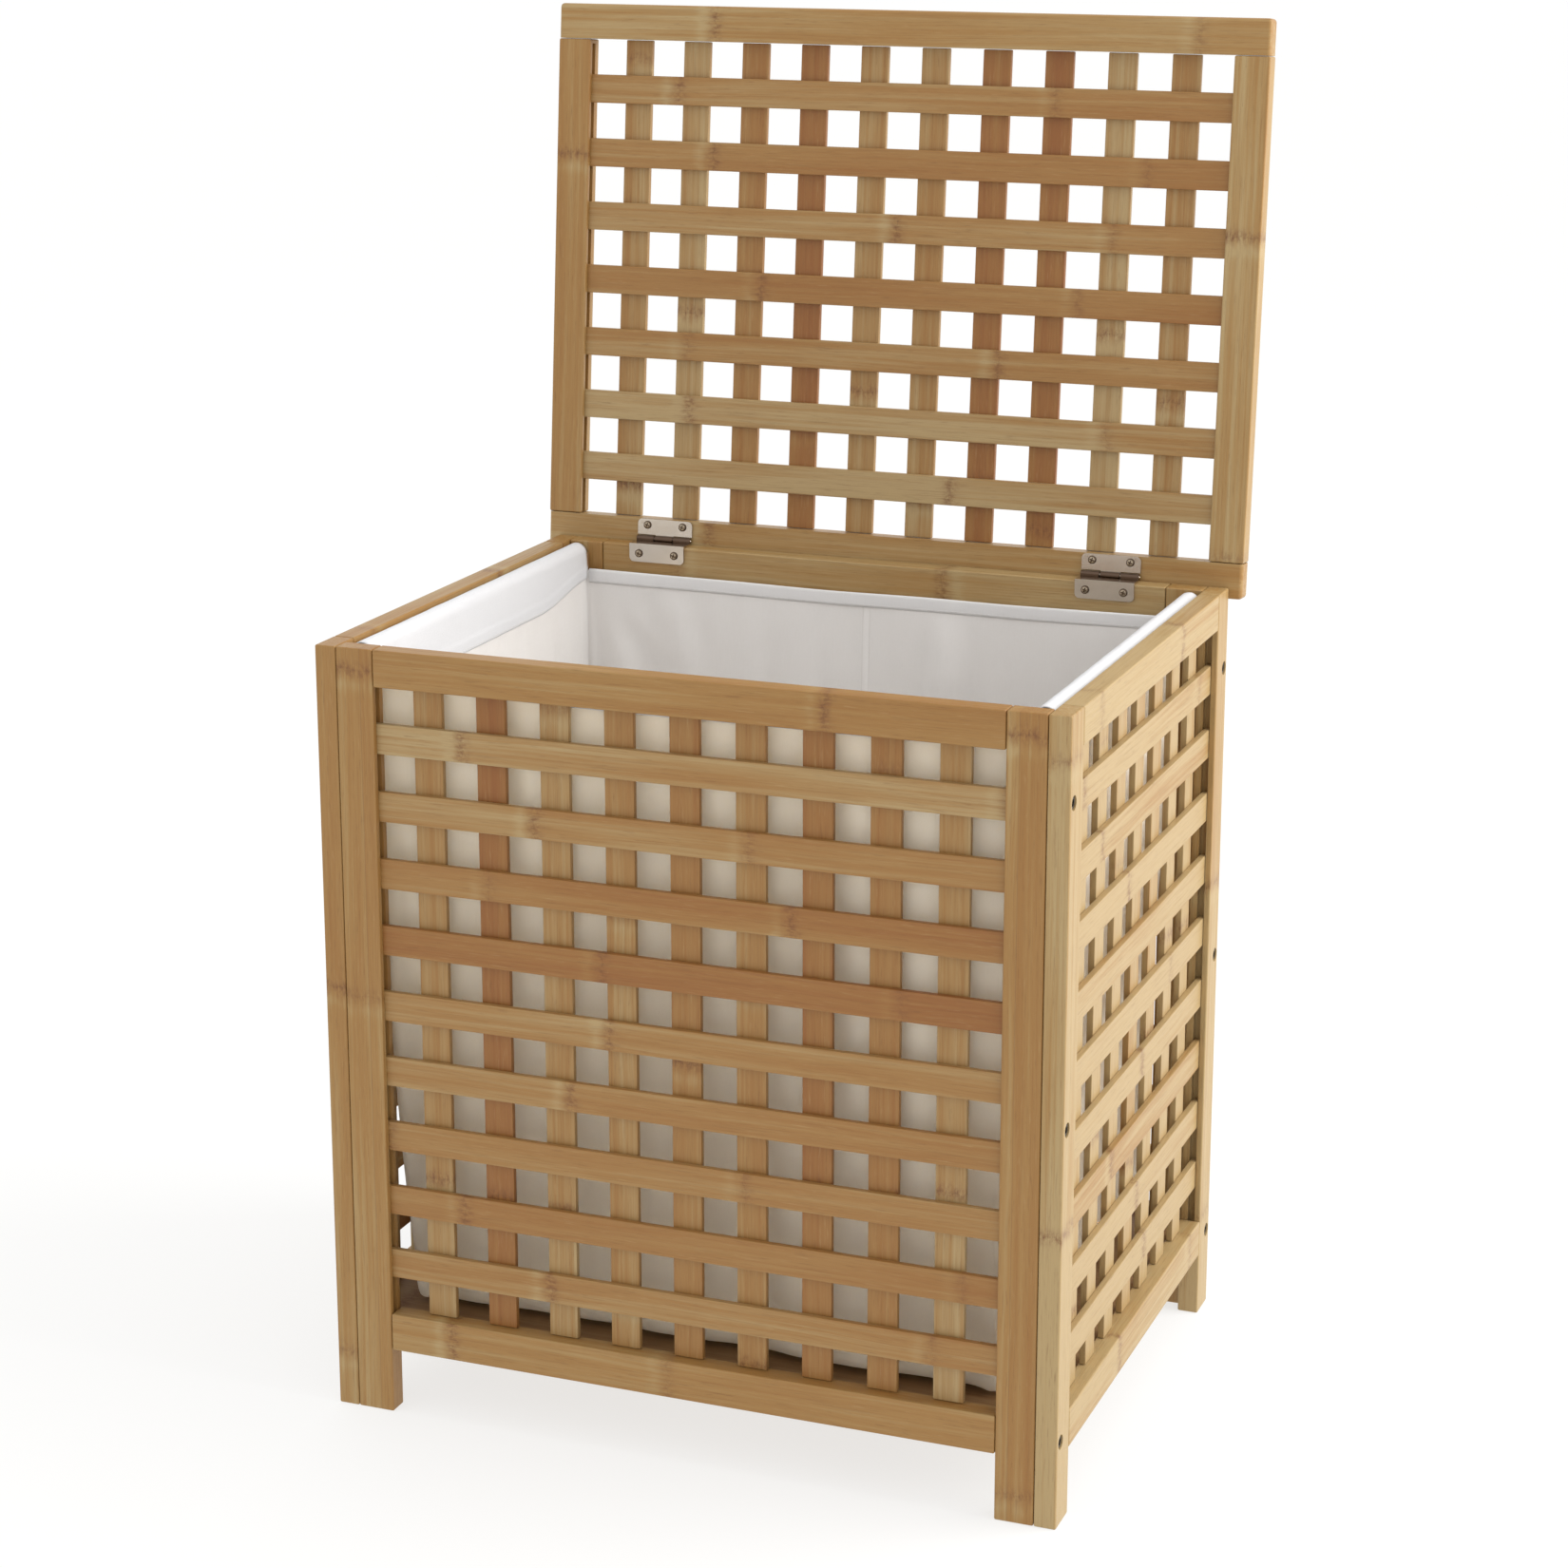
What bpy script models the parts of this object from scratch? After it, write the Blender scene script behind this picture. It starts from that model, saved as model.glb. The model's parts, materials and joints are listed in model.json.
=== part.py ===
"""Laundry hamper: bamboo lattice panels, a hinged lattice lid, and a cotton liner on two rods.

The hamper stands on the floor with its front towards -Y. The lid is open, leaning back against its stop.
The origin is on the floor, under the middle of the whole shape with its lid open.
"""

import math

import bmesh
import bpy
from mathutils import Matrix

# Body
BODY_WIDTH = 0.450
BODY_DEPTH = 0.334
BODY_HEIGHT = 0.470
PANEL_THICK = 0.013
STILE_WIDTH = 0.023
TOP_RAIL = 0.022
BOTTOM_RAIL = 0.023
LEG_HEIGHT = 0.040
EASED_EDGE = 0.0010
GAP = 0.0003

# Solids that are joined overlap by BITE, and cutters reach CUT_PAST beyond what they cut
BITE = 0.0001
CUT_PAST = 0.001
SAME_HEIGHT = 0.00001

# Lattices: the bars run across, and the uprights lie behind them
SLAT_WIDTH = 0.018
SLAT_THICK = 0.004
SLAT_RECESS = 0.004
TONGUE = 0.0047
FRONT_UPRIGHTS = 9
SIDE_UPRIGHTS = 7
BODY_BARS = 9
LID_UPRIGHTS = 10
LID_BARS = 7

# Lid
LID_OVERHANG = 0.008
LID_THICK = 0.0135
LID_FRAME = 0.022
LID_RECESS = 0.0035
LID_ROUNDING = 0.0025
LID_LEAN = math.radians(5.0)

# Hinges
HINGE_WIDTH = 0.038
HINGE_OFFSET = 0.150
LEAF_THICK = 0.0009
LEAF_DROP = 0.0108
LEAF_RISE = 0.0125
LEAF_CORNER = 0.003
CORNER_STEPS = 3
KNUCKLE_RADIUS = 0.0020
BORE_RADIUS = 0.0012
PIN_RADIUS = 0.0009
MIDDLE_KNUCKLE = 0.0130

# Hinge screws
SCREW_SPACING = 0.0245
SCREW_DROP = 0.0052
SCREW_RISE = 0.0086
SCREW_HEAD_RADIUS = 0.0026
SCREW_HEAD_HEIGHT = 0.0013
SCREW_CROWN_RADIUS = 0.0016
SCREW_SHANK_RADIUS = 0.0012
SCREW_POINT_START = 0.0063
SCREW_LENGTH = 0.0081
PILOT_DEPTH = 0.0090
CROSS_SIZE = 0.0028
CROSS_WIDTH = 0.0007
CROSS_DEPTH = 0.0008

# Assembly bolts, through the side stiles into the front and back stiles
BOLT_HEIGHTS = (0.051, 0.236, 0.421)
BOLT_HEAD_RADIUS = 0.0040
BOLT_HEAD_HEIGHT = 0.0020
BOLT_SINK = 0.0008
BOLT_SHANK_RADIUS = 0.0025
BOLT_REACH = 0.0285
SOCKET_RADIUS = 0.0023
SOCKET_DEPTH = 0.0015

# Base board, held in grooves of the bottom rails
BOARD_THICK = 0.004
BOARD_TOP = 0.059
BOARD_TONGUE = 0.0040

# Rods and their rests
ROD_RADIUS = 0.0055
ROD_BORE = 0.0045
SLEEVE_BELOW_TOP = 0.0008
REST_THICK = 0.003
REST_HEIGHT = 0.015

# Liner
CLOTH = 0.0010
SLEEVE_CLOTH = 0.0008
SLEEVE_INNER = ROD_RADIUS + GAP
SLEEVE_OUTER = SLEEVE_INNER + SLEEVE_CLOTH
SLEEVE_SEAM = 0.010
LINER_BOTTOM = 0.0625
LINER_DIP = 0.018
LINER_WALL_INSET = 0.0045
LINER_SIDE_INSET = 0.0131

# Where things meet
SIDE_INNER = BODY_WIDTH / 2 - PANEL_THICK
GROOVE_DEPTH = TONGUE + GAP
LID_STANDOFF = KNUCKLE_RADIUS + GAP
AXIS_INSET = (
    (LID_STANDOFF + LID_ROUNDING) * math.cos(LID_LEAN)
    - (LID_OVERHANG - LID_ROUNDING) * math.sin(LID_LEAN)
    - LID_ROUNDING
    - GAP
) / (1 + math.sin(LID_LEAN))
AXIS_HEIGHT = BODY_HEIGHT + GAP + KNUCKLE_RADIUS
LID_WIDTH = BODY_WIDTH + 2 * LID_OVERHANG
LID_REACH = BODY_DEPTH - AXIS_INSET + LID_OVERHANG
LID_TAIL = LID_OVERHANG + AXIS_INSET
LID_BEHIND_AXIS = (
    (LID_REACH - LID_ROUNDING) * math.sin(LID_LEAN)
    + (LID_STANDOFF + LID_THICK - LID_ROUNDING) * math.cos(LID_LEAN)
    + LID_ROUNDING
)
OVERALL_DEPTH = BODY_DEPTH - AXIS_INSET + LID_BEHIND_AXIS
FRONT_Y = -OVERALL_DEPTH / 2
BACK_Y = FRONT_Y + BODY_DEPTH
AXIS_Y = BACK_Y - AXIS_INSET
ROD_X = SIDE_INNER - GAP - SLEEVE_OUTER - GAP
ROD_Z = BODY_HEIGHT - SLEEVE_BELOW_TOP - SLEEVE_OUTER

# How many sides stand for a circle
ROUND_SIDES = 10
PILOT_SIDES = 8


# ---------------------------------------------------------------- materials


def material(name, colour, roughness, metallic=0.0):
    """A Principled material with one colour."""
    made = bpy.data.materials.new(name)
    made.use_nodes = True
    shader = made.node_tree.nodes["Principled BSDF"]
    shader.inputs["Base Color"].default_value = (*colour, 1.0)
    shader.inputs["Roughness"].default_value = roughness
    shader.inputs["Metallic"].default_value = metallic
    made.diffuse_color = (*colour, 1.0)
    return made


def make_materials():
    """Every material of the hamper, by name."""
    return {
        "frame": material("bamboo_frame", (0.40, 0.23, 0.085), 0.45),
        "slat": material("bamboo_slat", (0.38, 0.21, 0.075), 0.5),
        "board": material("bamboo_board", (0.36, 0.23, 0.11), 0.55),
        "hinge": material("nickel_plate", (0.62, 0.58, 0.52), 0.3, 1.0),
        "screw": material("screw_steel", (0.55, 0.53, 0.5), 0.35, 1.0),
        "bolt": material("black_bolt_steel", (0.08, 0.075, 0.07), 0.4, 1.0),
        "rod": material("rod_steel", (0.7, 0.7, 0.7), 0.3, 1.0),
        "rest": material("rod_rest_bamboo", (0.35, 0.18, 0.07), 0.6),
        "cotton": material("cotton", (0.86, 0.84, 0.8), 0.9),
    }


# ---------------------------------------------------------------- shapes


def box(low, high, ease=0.0):
    """A box between two corners, its edges eased when ease is given."""
    shape = bmesh.new()
    size = [b - a for a, b in zip(low, high)]
    middle = [(a + b) / 2 for a, b in zip(low, high)]
    placed = Matrix.Translation(middle) @ Matrix.Diagonal((*size, 1.0))
    bmesh.ops.create_cube(shape, size=1.0, matrix=placed)
    if ease:
        ease_edges(shape, shape.edges[:], ease)
    return shape


def ease_edges(shape, edges, width, segments=1):
    """Rounds the given edges."""
    size = {"offset": width, "segments": segments, "profile": 0.5}
    bmesh.ops.bevel(shape, geom=edges, affect="EDGES", clamp_overlap=True, **size)


def prism(outline, start, end):
    """An outline in X and Y, extruded from one height to another."""
    shape = bmesh.new()
    corners = [shape.verts.new((x, y, start)) for x, y in outline]
    face = shape.faces.new(corners)
    face.normal_update()
    if face.normal.z > 0:
        face.normal_flip()
    grown = bmesh.ops.extrude_face_region(shape, geom=[face])
    lifted = [v for v in grown["geom"] if isinstance(v, bmesh.types.BMVert)]
    bmesh.ops.translate(shape, vec=(0, 0, end - start), verts=lifted)
    bmesh.ops.recalc_face_normals(shape, faces=shape.faces)
    return shape


def circle(radius, sides=ROUND_SIDES, turn=0.0):
    """Points on a circle round the origin."""
    steps = [turn + 2 * math.pi * k / sides for k in range(sides)]
    return [(radius * math.cos(a), radius * math.sin(a)) for a in steps]


def turned(profile, sides=ROUND_SIDES):
    """A profile of (radius, height) points, from axis to axis, turned round Z."""
    shape = bmesh.new()
    rings = []
    for radius, height in profile:
        if radius == 0.0:
            rings.append([shape.verts.new((0, 0, height))])
        else:
            rings.append([shape.verts.new((x, y, height)) for x, y in circle(radius, sides)])
    for lower, upper in zip(rings, rings[1:]):
        for k in range(sides):
            corners = [lower[k % len(lower)], lower[(k + 1) % len(lower)]]
            corners += [upper[(k + 1) % len(upper)], upper[k % len(upper)]]
            shape.faces.new(list(dict.fromkeys(corners)))
    bmesh.ops.recalc_face_normals(shape, faces=shape.faces)
    return shape


def moved(shape, matrix):
    """The same shape, placed by a matrix."""
    bmesh.ops.transform(shape, matrix=matrix, verts=shape.verts)
    return shape


def along_x(shape, x=0.0, y=0.0, z=0.0):
    """Lays a shape that was made along Z along X instead."""
    return moved(shape, Matrix.Translation((x, y, z)) @ Matrix.Rotation(math.radians(90), 4, "Y"))


def along_y(shape, x=0.0, y=0.0, z=0.0):
    """Lays a shape that was made along Z along Y instead."""
    return moved(shape, Matrix.Translation((x, y, z)) @ Matrix.Rotation(math.radians(-90), 4, "X"))


def gathered(shapes):
    """Several separate shapes as one."""
    whole = bmesh.new()
    for shape in shapes:
        part = to_mesh(shape)
        whole.from_mesh(part)
        bpy.data.meshes.remove(part)
    return whole


def to_mesh(shape):
    """Turns a bmesh into a mesh and frees it."""
    mesh = bpy.data.meshes.new("shape")
    shape.to_mesh(mesh)
    shape.free()
    return mesh


def combined(first, second, operation):
    """The union or difference of two closed shapes."""
    objects = [bpy.data.objects.new("operand", to_mesh(shape)) for shape in (first, second)]
    for item in objects:
        bpy.context.scene.collection.objects.link(item)
    cut = objects[0].modifiers.new("combine", "BOOLEAN")
    cut.operation = operation
    cut.solver = "EXACT"
    cut.object = objects[1]
    result = bmesh.new()
    evaluated = objects[0].evaluated_get(bpy.context.evaluated_depsgraph_get())
    result.from_mesh(evaluated.to_mesh())
    evaluated.to_mesh_clear()
    for item in objects:
        mesh = item.data
        bpy.data.objects.remove(item)
        bpy.data.meshes.remove(mesh)
    return result


def joined(first, second):
    """Two overlapping shapes as one body."""
    return combined(first, second, "UNION")


def carved(first, second):
    """The first shape with the second cut away."""
    return combined(first, second, "DIFFERENCE")


def place(name, mesh, finish, parent, location=(0, 0, 0), turn=0.0):
    """Adds a named sub-part, turned round Z, under its parent."""
    part = bpy.data.objects.new(name, mesh)
    bpy.context.scene.collection.objects.link(part)
    if not mesh.materials:
        mesh.materials.append(finish)
    part.parent = parent
    part.location = location
    part.rotation_euler = (0, 0, turn)
    return part


def anchor(name, location, rotation=(0, 0, 0)):
    """An empty that sub-parts are placed under."""
    empty = bpy.data.objects.new(name, None)
    bpy.context.scene.collection.objects.link(empty)
    empty.location = location
    empty.rotation_euler = rotation
    return empty


# ---------------------------------------------------------------- lattices and frames
# A panel is built standing: X runs across it, Y goes in from its outer face, and Z is up.


def crossed_slats(width, height, uprights, bars, recess, bottom):
    """Bars with tongues at both ends over uprights, joined where they cross."""
    bar_pitch = (height + SLAT_WIDTH) / (bars + 1)
    upright_pitch = (width + SLAT_WIDTH) / (uprights + 1)
    middle = recess + SLAT_THICK
    half = SLAT_WIDTH / 2
    bar_boxes = []
    for k in range(bars):
        z = bottom - half + bar_pitch * (k + 1)
        low = (-width / 2 - TONGUE, recess, z - half)
        high = (width / 2 + TONGUE, middle, z + half)
        bar_boxes.append(box(low, high))
    upright_boxes = []
    for k in range(uprights):
        x = -width / 2 - half + upright_pitch * (k + 1)
        low = (x - half, middle, bottom + GAP)
        high = (x + half, middle + SLAT_THICK, bottom + height - GAP)
        upright_boxes.append(box(low, high))
    return joined(gathered(bar_boxes), gathered(upright_boxes))


def grooved_stile(width, thick, low, high, recess, groove_start):
    """A stile with its outer edge at X = 0, and a groove along its inner edge that takes the tongues."""
    stile = box((0, 0, low), (width, thick, high), EASED_EDGE)
    groove_low = (width - GROOVE_DEPTH, recess - GAP, groove_start)
    groove_high = (width + CUT_PAST, recess + SLAT_THICK + GAP, high + CUT_PAST)
    return carved(stile, box(groove_low, groove_high))


def tongued_rail(length, low, high):
    """A rail of a body panel, with a tongue at each end."""
    body = box((-length / 2 + GAP, 0, low), (length / 2 - GAP, PANEL_THICK, high), EASED_EDGE)
    tongue_low = (-length / 2 - TONGUE, SLAT_RECESS, low + EASED_EDGE)
    tongue_high = (length / 2 + TONGUE, SLAT_RECESS + SLAT_THICK, high - EASED_EDGE)
    return joined(body, box(tongue_low, tongue_high))


def bolt_hole_cutters():
    """Counterbored holes through a side stile, whose outer edge is at X = 0."""
    cutters = []
    for z in BOLT_HEIGHTS:
        bore = prism(circle(BOLT_SHANK_RADIUS + GAP), -CUT_PAST, PANEL_THICK + CUT_PAST)
        sink = prism(circle(BOLT_HEAD_RADIUS + GAP), -CUT_PAST, BOLT_SINK + BOLT_HEAD_HEIGHT + GAP)
        for cutter in (bore, sink):
            cutters.append(along_y(cutter, PANEL_THICK / 2, 0, z))
    return cutters


def edge_hole_cutters():
    """Blind holes for the bolts in the outer edge of a front or back stile."""
    depth = BOLT_REACH + GAP - PANEL_THICK
    bores = [prism(circle(BOLT_SHANK_RADIUS + GAP), -CUT_PAST, depth) for _ in BOLT_HEIGHTS]
    return [along_x(bore, 0, PANEL_THICK / 2, z) for bore, z in zip(bores, BOLT_HEIGHTS)]


def mirrored(shape):
    """The shape's mirror image across X = 0, still facing out."""
    moved(shape, Matrix.Scale(-1, 4, (1, 0, 0)))
    bmesh.ops.reverse_faces(shape, faces=shape.faces)
    return shape


def body_stile(bored_through):
    """A full-height stile, with its bolt holes, and with no groove down its leg."""
    stile = grooved_stile(STILE_WIDTH, PANEL_THICK, 0, BODY_HEIGHT, SLAT_RECESS, LEG_HEIGHT)
    cutters = bolt_hole_cutters() if bored_through else edge_hole_cutters()
    for cutter in cutters:
        stile = carved(stile, cutter)
    return stile


def board_groove(length):
    """The cutter for the base board's groove in the inner face of a bottom rail."""
    reach = length / 2 + TONGUE + CUT_PAST
    low = (-reach, PANEL_THICK - BOARD_TONGUE - GAP, BOARD_TOP - BOARD_THICK - GAP)
    return box(low, (reach, PANEL_THICK + CUT_PAST, BOARD_TOP + GAP))


def hinge_screw_cutters(y_start, y_end, z):
    """Pilot holes along Y for the screws of both hinges."""
    cutters = []
    for x in hinge_screw_places():
        pilot = prism(circle(SCREW_SHANK_RADIUS + GAP, PILOT_SIDES), y_start, y_end)
        cutters.append(along_y(pilot, x, 0, z))
    return cutters


def hinge_screw_places():
    """The X of each of the four screws in a row, from left to right."""
    return [hinge * HINGE_OFFSET + side * SCREW_SPACING / 2 for hinge in (-1, 1) for side in (-1, 1)]


def build_panel(panel, span, parent, ends, uprights, bored_through, finishes):
    """One body panel: two stiles, two rails and the lattice between them."""
    opening = span - 2 * STILE_WIDTH
    for side, end in zip((1, -1), ends):
        stile = body_stile(bored_through)
        if side < 0:
            mirrored(stile)
        place(f"{panel}_{end}_stile", to_mesh(stile), finishes["frame"], parent, (-side * span / 2, 0, 0))
    rail_top = LEG_HEIGHT + BOTTOM_RAIL
    lintel = BODY_HEIGHT - TOP_RAIL
    top = tongued_rail(opening, lintel, BODY_HEIGHT)
    bottom = carved(tongued_rail(opening, LEG_HEIGHT, rail_top), board_groove(opening))
    if panel == "back":
        pilot_start, pilot_end = PANEL_THICK - PILOT_DEPTH, PANEL_THICK + CUT_PAST
        for cutter in hinge_screw_cutters(pilot_start, pilot_end, BODY_HEIGHT - SCREW_DROP):
            top = carved(top, cutter)
    lattice = crossed_slats(opening, lintel - rail_top, uprights, BODY_BARS, SLAT_RECESS, rail_top)
    place(panel + "_top_rail", to_mesh(top), finishes["frame"], parent)
    place(panel + "_bottom_rail", to_mesh(bottom), finishes["frame"], parent)
    place(panel + "_lattice", to_mesh(lattice), finishes["slat"], parent)


def build_body(finishes):
    """The four panels: the front and back stand between the side panels, which the bolts go through."""
    inner_span = BODY_WIDTH - 2 * PANEL_THICK - 2 * GAP
    middle_y = (FRONT_Y + BACK_Y) / 2
    quarter = math.pi / 2
    front = anchor("front_panel", (0, FRONT_Y, 0))
    back = anchor("back_panel", (0, BACK_Y, 0), (0, 0, 2 * quarter))
    right = anchor("right_panel", (BODY_WIDTH / 2, middle_y, 0), (0, 0, quarter))
    left = anchor("left_panel", (-BODY_WIDTH / 2, middle_y, 0), (0, 0, -quarter))
    build_panel("front", inner_span, front, ("left", "right"), FRONT_UPRIGHTS, False, finishes)
    build_panel("back", inner_span, back, ("right", "left"), FRONT_UPRIGHTS, False, finishes)
    build_panel("right", BODY_DEPTH, right, ("front", "rear"), SIDE_UPRIGHTS, True, finishes)
    build_panel("left", BODY_DEPTH, left, ("rear", "front"), SIDE_UPRIGHTS, True, finishes)
    return {"right": right, "left": left}


# ---------------------------------------------------------------- fasteners


def bolt_mesh():
    """A bolt with a hexagon socket, its head at Z = 0 and its shank along +Z."""
    head = BOLT_HEAD_HEIGHT
    tip = BOLT_REACH - BOLT_SINK
    profile = [(0, 0), (BOLT_HEAD_RADIUS, 0), (BOLT_HEAD_RADIUS, head)]
    profile += [(BOLT_SHANK_RADIUS, head), (BOLT_SHANK_RADIUS, tip), (0, tip)]
    socket = prism(circle(SOCKET_RADIUS, 6), -CUT_PAST, SOCKET_DEPTH)
    return to_mesh(carved(turned(profile), socket))


def screw_mesh():
    """A cross-head screw: its head stands proud of Z = 0 and its shank runs along +Z."""
    top = -SCREW_HEAD_HEIGHT
    profile = [(0, top), (SCREW_CROWN_RADIUS, top), (SCREW_HEAD_RADIUS, 0)]
    profile += [(SCREW_SHANK_RADIUS, 0), (SCREW_SHANK_RADIUS, SCREW_POINT_START), (0, SCREW_LENGTH)]
    arm, half = CROSS_SIZE / 2, CROSS_WIDTH / 2
    outline = [(arm, half), (half, half), (half, arm), (-half, arm), (-half, half), (-arm, half)]
    outline += [(-x, -y) for x, y in outline]
    return to_mesh(carved(turned(profile), prism(outline, top - CUT_PAST, top + CROSS_DEPTH)))


def build_bolts(sides, finishes):
    """Three bolts down each upright edge of the side panels."""
    mesh = bolt_mesh()
    mesh.transform(Matrix.Rotation(math.radians(-90), 4, "X"))
    reach = BODY_DEPTH / 2 - PANEL_THICK / 2
    for panel, ends in (("right", ("front", "rear")), ("left", ("rear", "front"))):
        for x, end in zip((-reach, reach), ends):
            for level, z in zip(("bottom", "middle", "top"), BOLT_HEIGHTS):
                name = f"{panel}_{end}_{level}_bolt"
                place(name, mesh, finishes["bolt"], sides[panel], (x, BOLT_SINK, z))


# ---------------------------------------------------------------- lid and hinges


def build_lid(pivot, finishes):
    """The lid's frame and lattice, standing on the hinge axis with its underside to the front."""
    low, high = -LID_TAIL, LID_REACH
    opening = LID_WIDTH - 2 * LID_FRAME
    inner_low, inner_high = low + LID_FRAME, high - LID_FRAME
    for name, bottom, top in (("lid_rear_rail", low, inner_low), ("lid_front_rail", inner_high, high)):
        rail = box((-LID_WIDTH / 2, LID_STANDOFF, bottom), (LID_WIDTH / 2, LID_STANDOFF + LID_THICK, top))
        inner = inner_low if bottom == low else inner_high
        outer = [e for e in rail.edges if any(abs(v.co.z - inner) > SAME_HEIGHT for v in e.verts)]
        ease_edges(rail, outer, LID_ROUNDING, 2)
        if bottom == low:
            start = LID_STANDOFF - CUT_PAST
            for cutter in hinge_screw_cutters(start, LID_STANDOFF + PILOT_DEPTH, SCREW_RISE):
                rail = carved(rail, cutter)
        place(name, to_mesh(rail), finishes["frame"], pivot)
    for side, name in ((1, "lid_left_stile"), (-1, "lid_right_stile")):
        stile_low, stile_high = inner_low + GAP, inner_high - GAP
        stile = grooved_stile(LID_FRAME, LID_THICK, stile_low, stile_high, LID_RECESS, stile_low - CUT_PAST)
        if side < 0:
            mirrored(stile)
        place(name, to_mesh(stile), finishes["frame"], pivot, (-side * LID_WIDTH / 2, LID_STANDOFF, 0))
    lattice = crossed_slats(opening, inner_high - inner_low, LID_UPRIGHTS, LID_BARS, LID_RECESS, inner_low)
    place("lid_lattice", to_mesh(lattice), finishes["slat"], pivot, (0, LID_STANDOFF, 0))


def leaf_outline(height):
    """A leaf's outline, from its straight edge at Y = 0 to its rounded corners."""
    half = HINGE_WIDTH / 2 - BITE
    outline = [(-half, 0), (half, 0)]
    for centre_x, start in ((half - LEAF_CORNER, 0), (-half + LEAF_CORNER, 90)):
        for step in range(CORNER_STEPS + 1):
            angle = math.radians(start + 90 * step / CORNER_STEPS)
            x = centre_x + LEAF_CORNER * math.cos(angle)
            outline.append((x, height - LEAF_CORNER + LEAF_CORNER * math.sin(angle)))
    return outline


def leaf_plate(height):
    """A screwed leaf, standing on Z = 0 with its back at Y = 0 and its face towards -Y."""
    plate = prism(leaf_outline(height), 0, LEAF_THICK)
    return moved(plate, Matrix.Rotation(math.radians(90), 4, "X"))


def leaf_holes(height):
    """Screw holes through a leaf."""
    radius, reach = SCREW_SHANK_RADIUS + GAP, LEAF_THICK + CUT_PAST
    holes = [prism(circle(radius, PILOT_SIDES), -reach, reach) for _ in (-1, 1)]
    return [along_y(hole, side * SCREW_SPACING / 2, 0, height) for hole, side in zip(holes, (-1, 1))]


def knuckles(spans):
    """Knuckle barrels along the axis between the given ends."""
    return [along_x(prism(circle(KNUCKLE_RADIUS), *sorted(span))) for span in spans]


def pin_bore():
    """The cutter for the pin's hole."""
    reach = HINGE_WIDTH / 2 + CUT_PAST
    return along_x(prism(circle(BORE_RADIUS), -reach, reach))


def body_leaf_mesh():
    """The leaf that wraps over the back rail, with the axis at the origin."""
    half, cut = HINGE_WIDTH / 2, MIDDLE_KNUCKLE / 2 + GAP
    face = -(PANEL_THICK - AXIS_INSET) - GAP
    under = -KNUCKLE_RADIUS
    over = under + LEAF_THICK
    drop = LEAF_DROP + GAP + LEAF_THICK
    plate = moved(leaf_plate(drop), Matrix.Rotation(math.pi, 4, "Y"))
    leaf = moved(plate, Matrix.Translation((0, face, over - BITE)))
    strip = box((-half, face - LEAF_THICK - BITE, under), (half, -BITE, over))
    leaf = joined(leaf, strip)
    for barrel in knuckles(((-half, -cut), (cut, half))):
        leaf = joined(leaf, barrel)
    clear = KNUCKLE_RADIUS + GAP
    leaf = carved(leaf, box((-cut, -clear, -clear), (cut, clear, clear)))
    leaf = carved(leaf, pin_bore())
    for hole in leaf_holes(0):
        height = over - drop + LEAF_DROP - SCREW_DROP
        leaf = carved(leaf, moved(hole, Matrix.Translation((0, face, height))))
    return to_mesh(leaf)


def lid_leaf_mesh():
    """The leaf on the lid's underside, with the axis at the origin."""
    half, cut = HINGE_WIDTH / 2, MIDDLE_KNUCKLE / 2
    leaf = moved(leaf_plate(LEAF_RISE - BITE), Matrix.Translation((0, LID_STANDOFF - GAP, BITE)))
    clear = KNUCKLE_RADIUS + GAP
    for low, high in ((-half - CUT_PAST, BITE - cut), (cut - BITE, half + CUT_PAST)):
        leaf = carved(leaf, box((low, -clear, -clear), (high, clear + LID_STANDOFF, clear)))
    leaf = joined(leaf, knuckles(((-cut, cut),))[0])
    leaf = carved(leaf, pin_bore())
    for hole in leaf_holes(SCREW_RISE):
        leaf = carved(leaf, moved(hole, Matrix.Translation((0, LID_STANDOFF, 0))))
    return to_mesh(leaf)


def build_hinges(axis, pivot, finishes):
    """Two hinges: each a body leaf, a lid leaf, a pin and four screws."""
    body_leaf, lid_leaf, screw = body_leaf_mesh(), lid_leaf_mesh(), screw_mesh()
    screw.transform(Matrix.Rotation(math.radians(-90), 4, "X"))
    pin = to_mesh(along_x(prism(circle(PIN_RADIUS), -HINGE_WIDTH / 2 + GAP, HINGE_WIDTH / 2 - GAP)))
    screw_back = -(PANEL_THICK - AXIS_INSET) - 2 * GAP - LEAF_THICK
    screw_height = BODY_HEIGHT - SCREW_DROP - AXIS_HEIGHT
    for side, hand in ((-1, "left"), (1, "right")):
        x = side * HINGE_OFFSET
        place(f"{hand}_hinge_body_leaf", body_leaf, finishes["hinge"], axis, (x, 0, 0))
        place(f"{hand}_hinge_lid_leaf", lid_leaf, finishes["hinge"], pivot, (x, 0, 0))
        place(f"{hand}_hinge_pin", pin, finishes["hinge"], axis, (x, 0, 0))
        for step, number in ((1, "outer"), (-1, "inner")):
            screw_x = x + side * step * SCREW_SPACING / 2
            in_body = (screw_x, screw_back, screw_height)
            in_lid = (screw_x, LID_STANDOFF - 2 * GAP - LEAF_THICK, SCREW_RISE)
            place(f"{hand}_hinge_body_screw_{number}", screw, finishes["screw"], axis, in_body)
            place(f"{hand}_hinge_lid_screw_{number}", screw, finishes["screw"], pivot, in_lid)


# ---------------------------------------------------------------- inside


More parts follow.
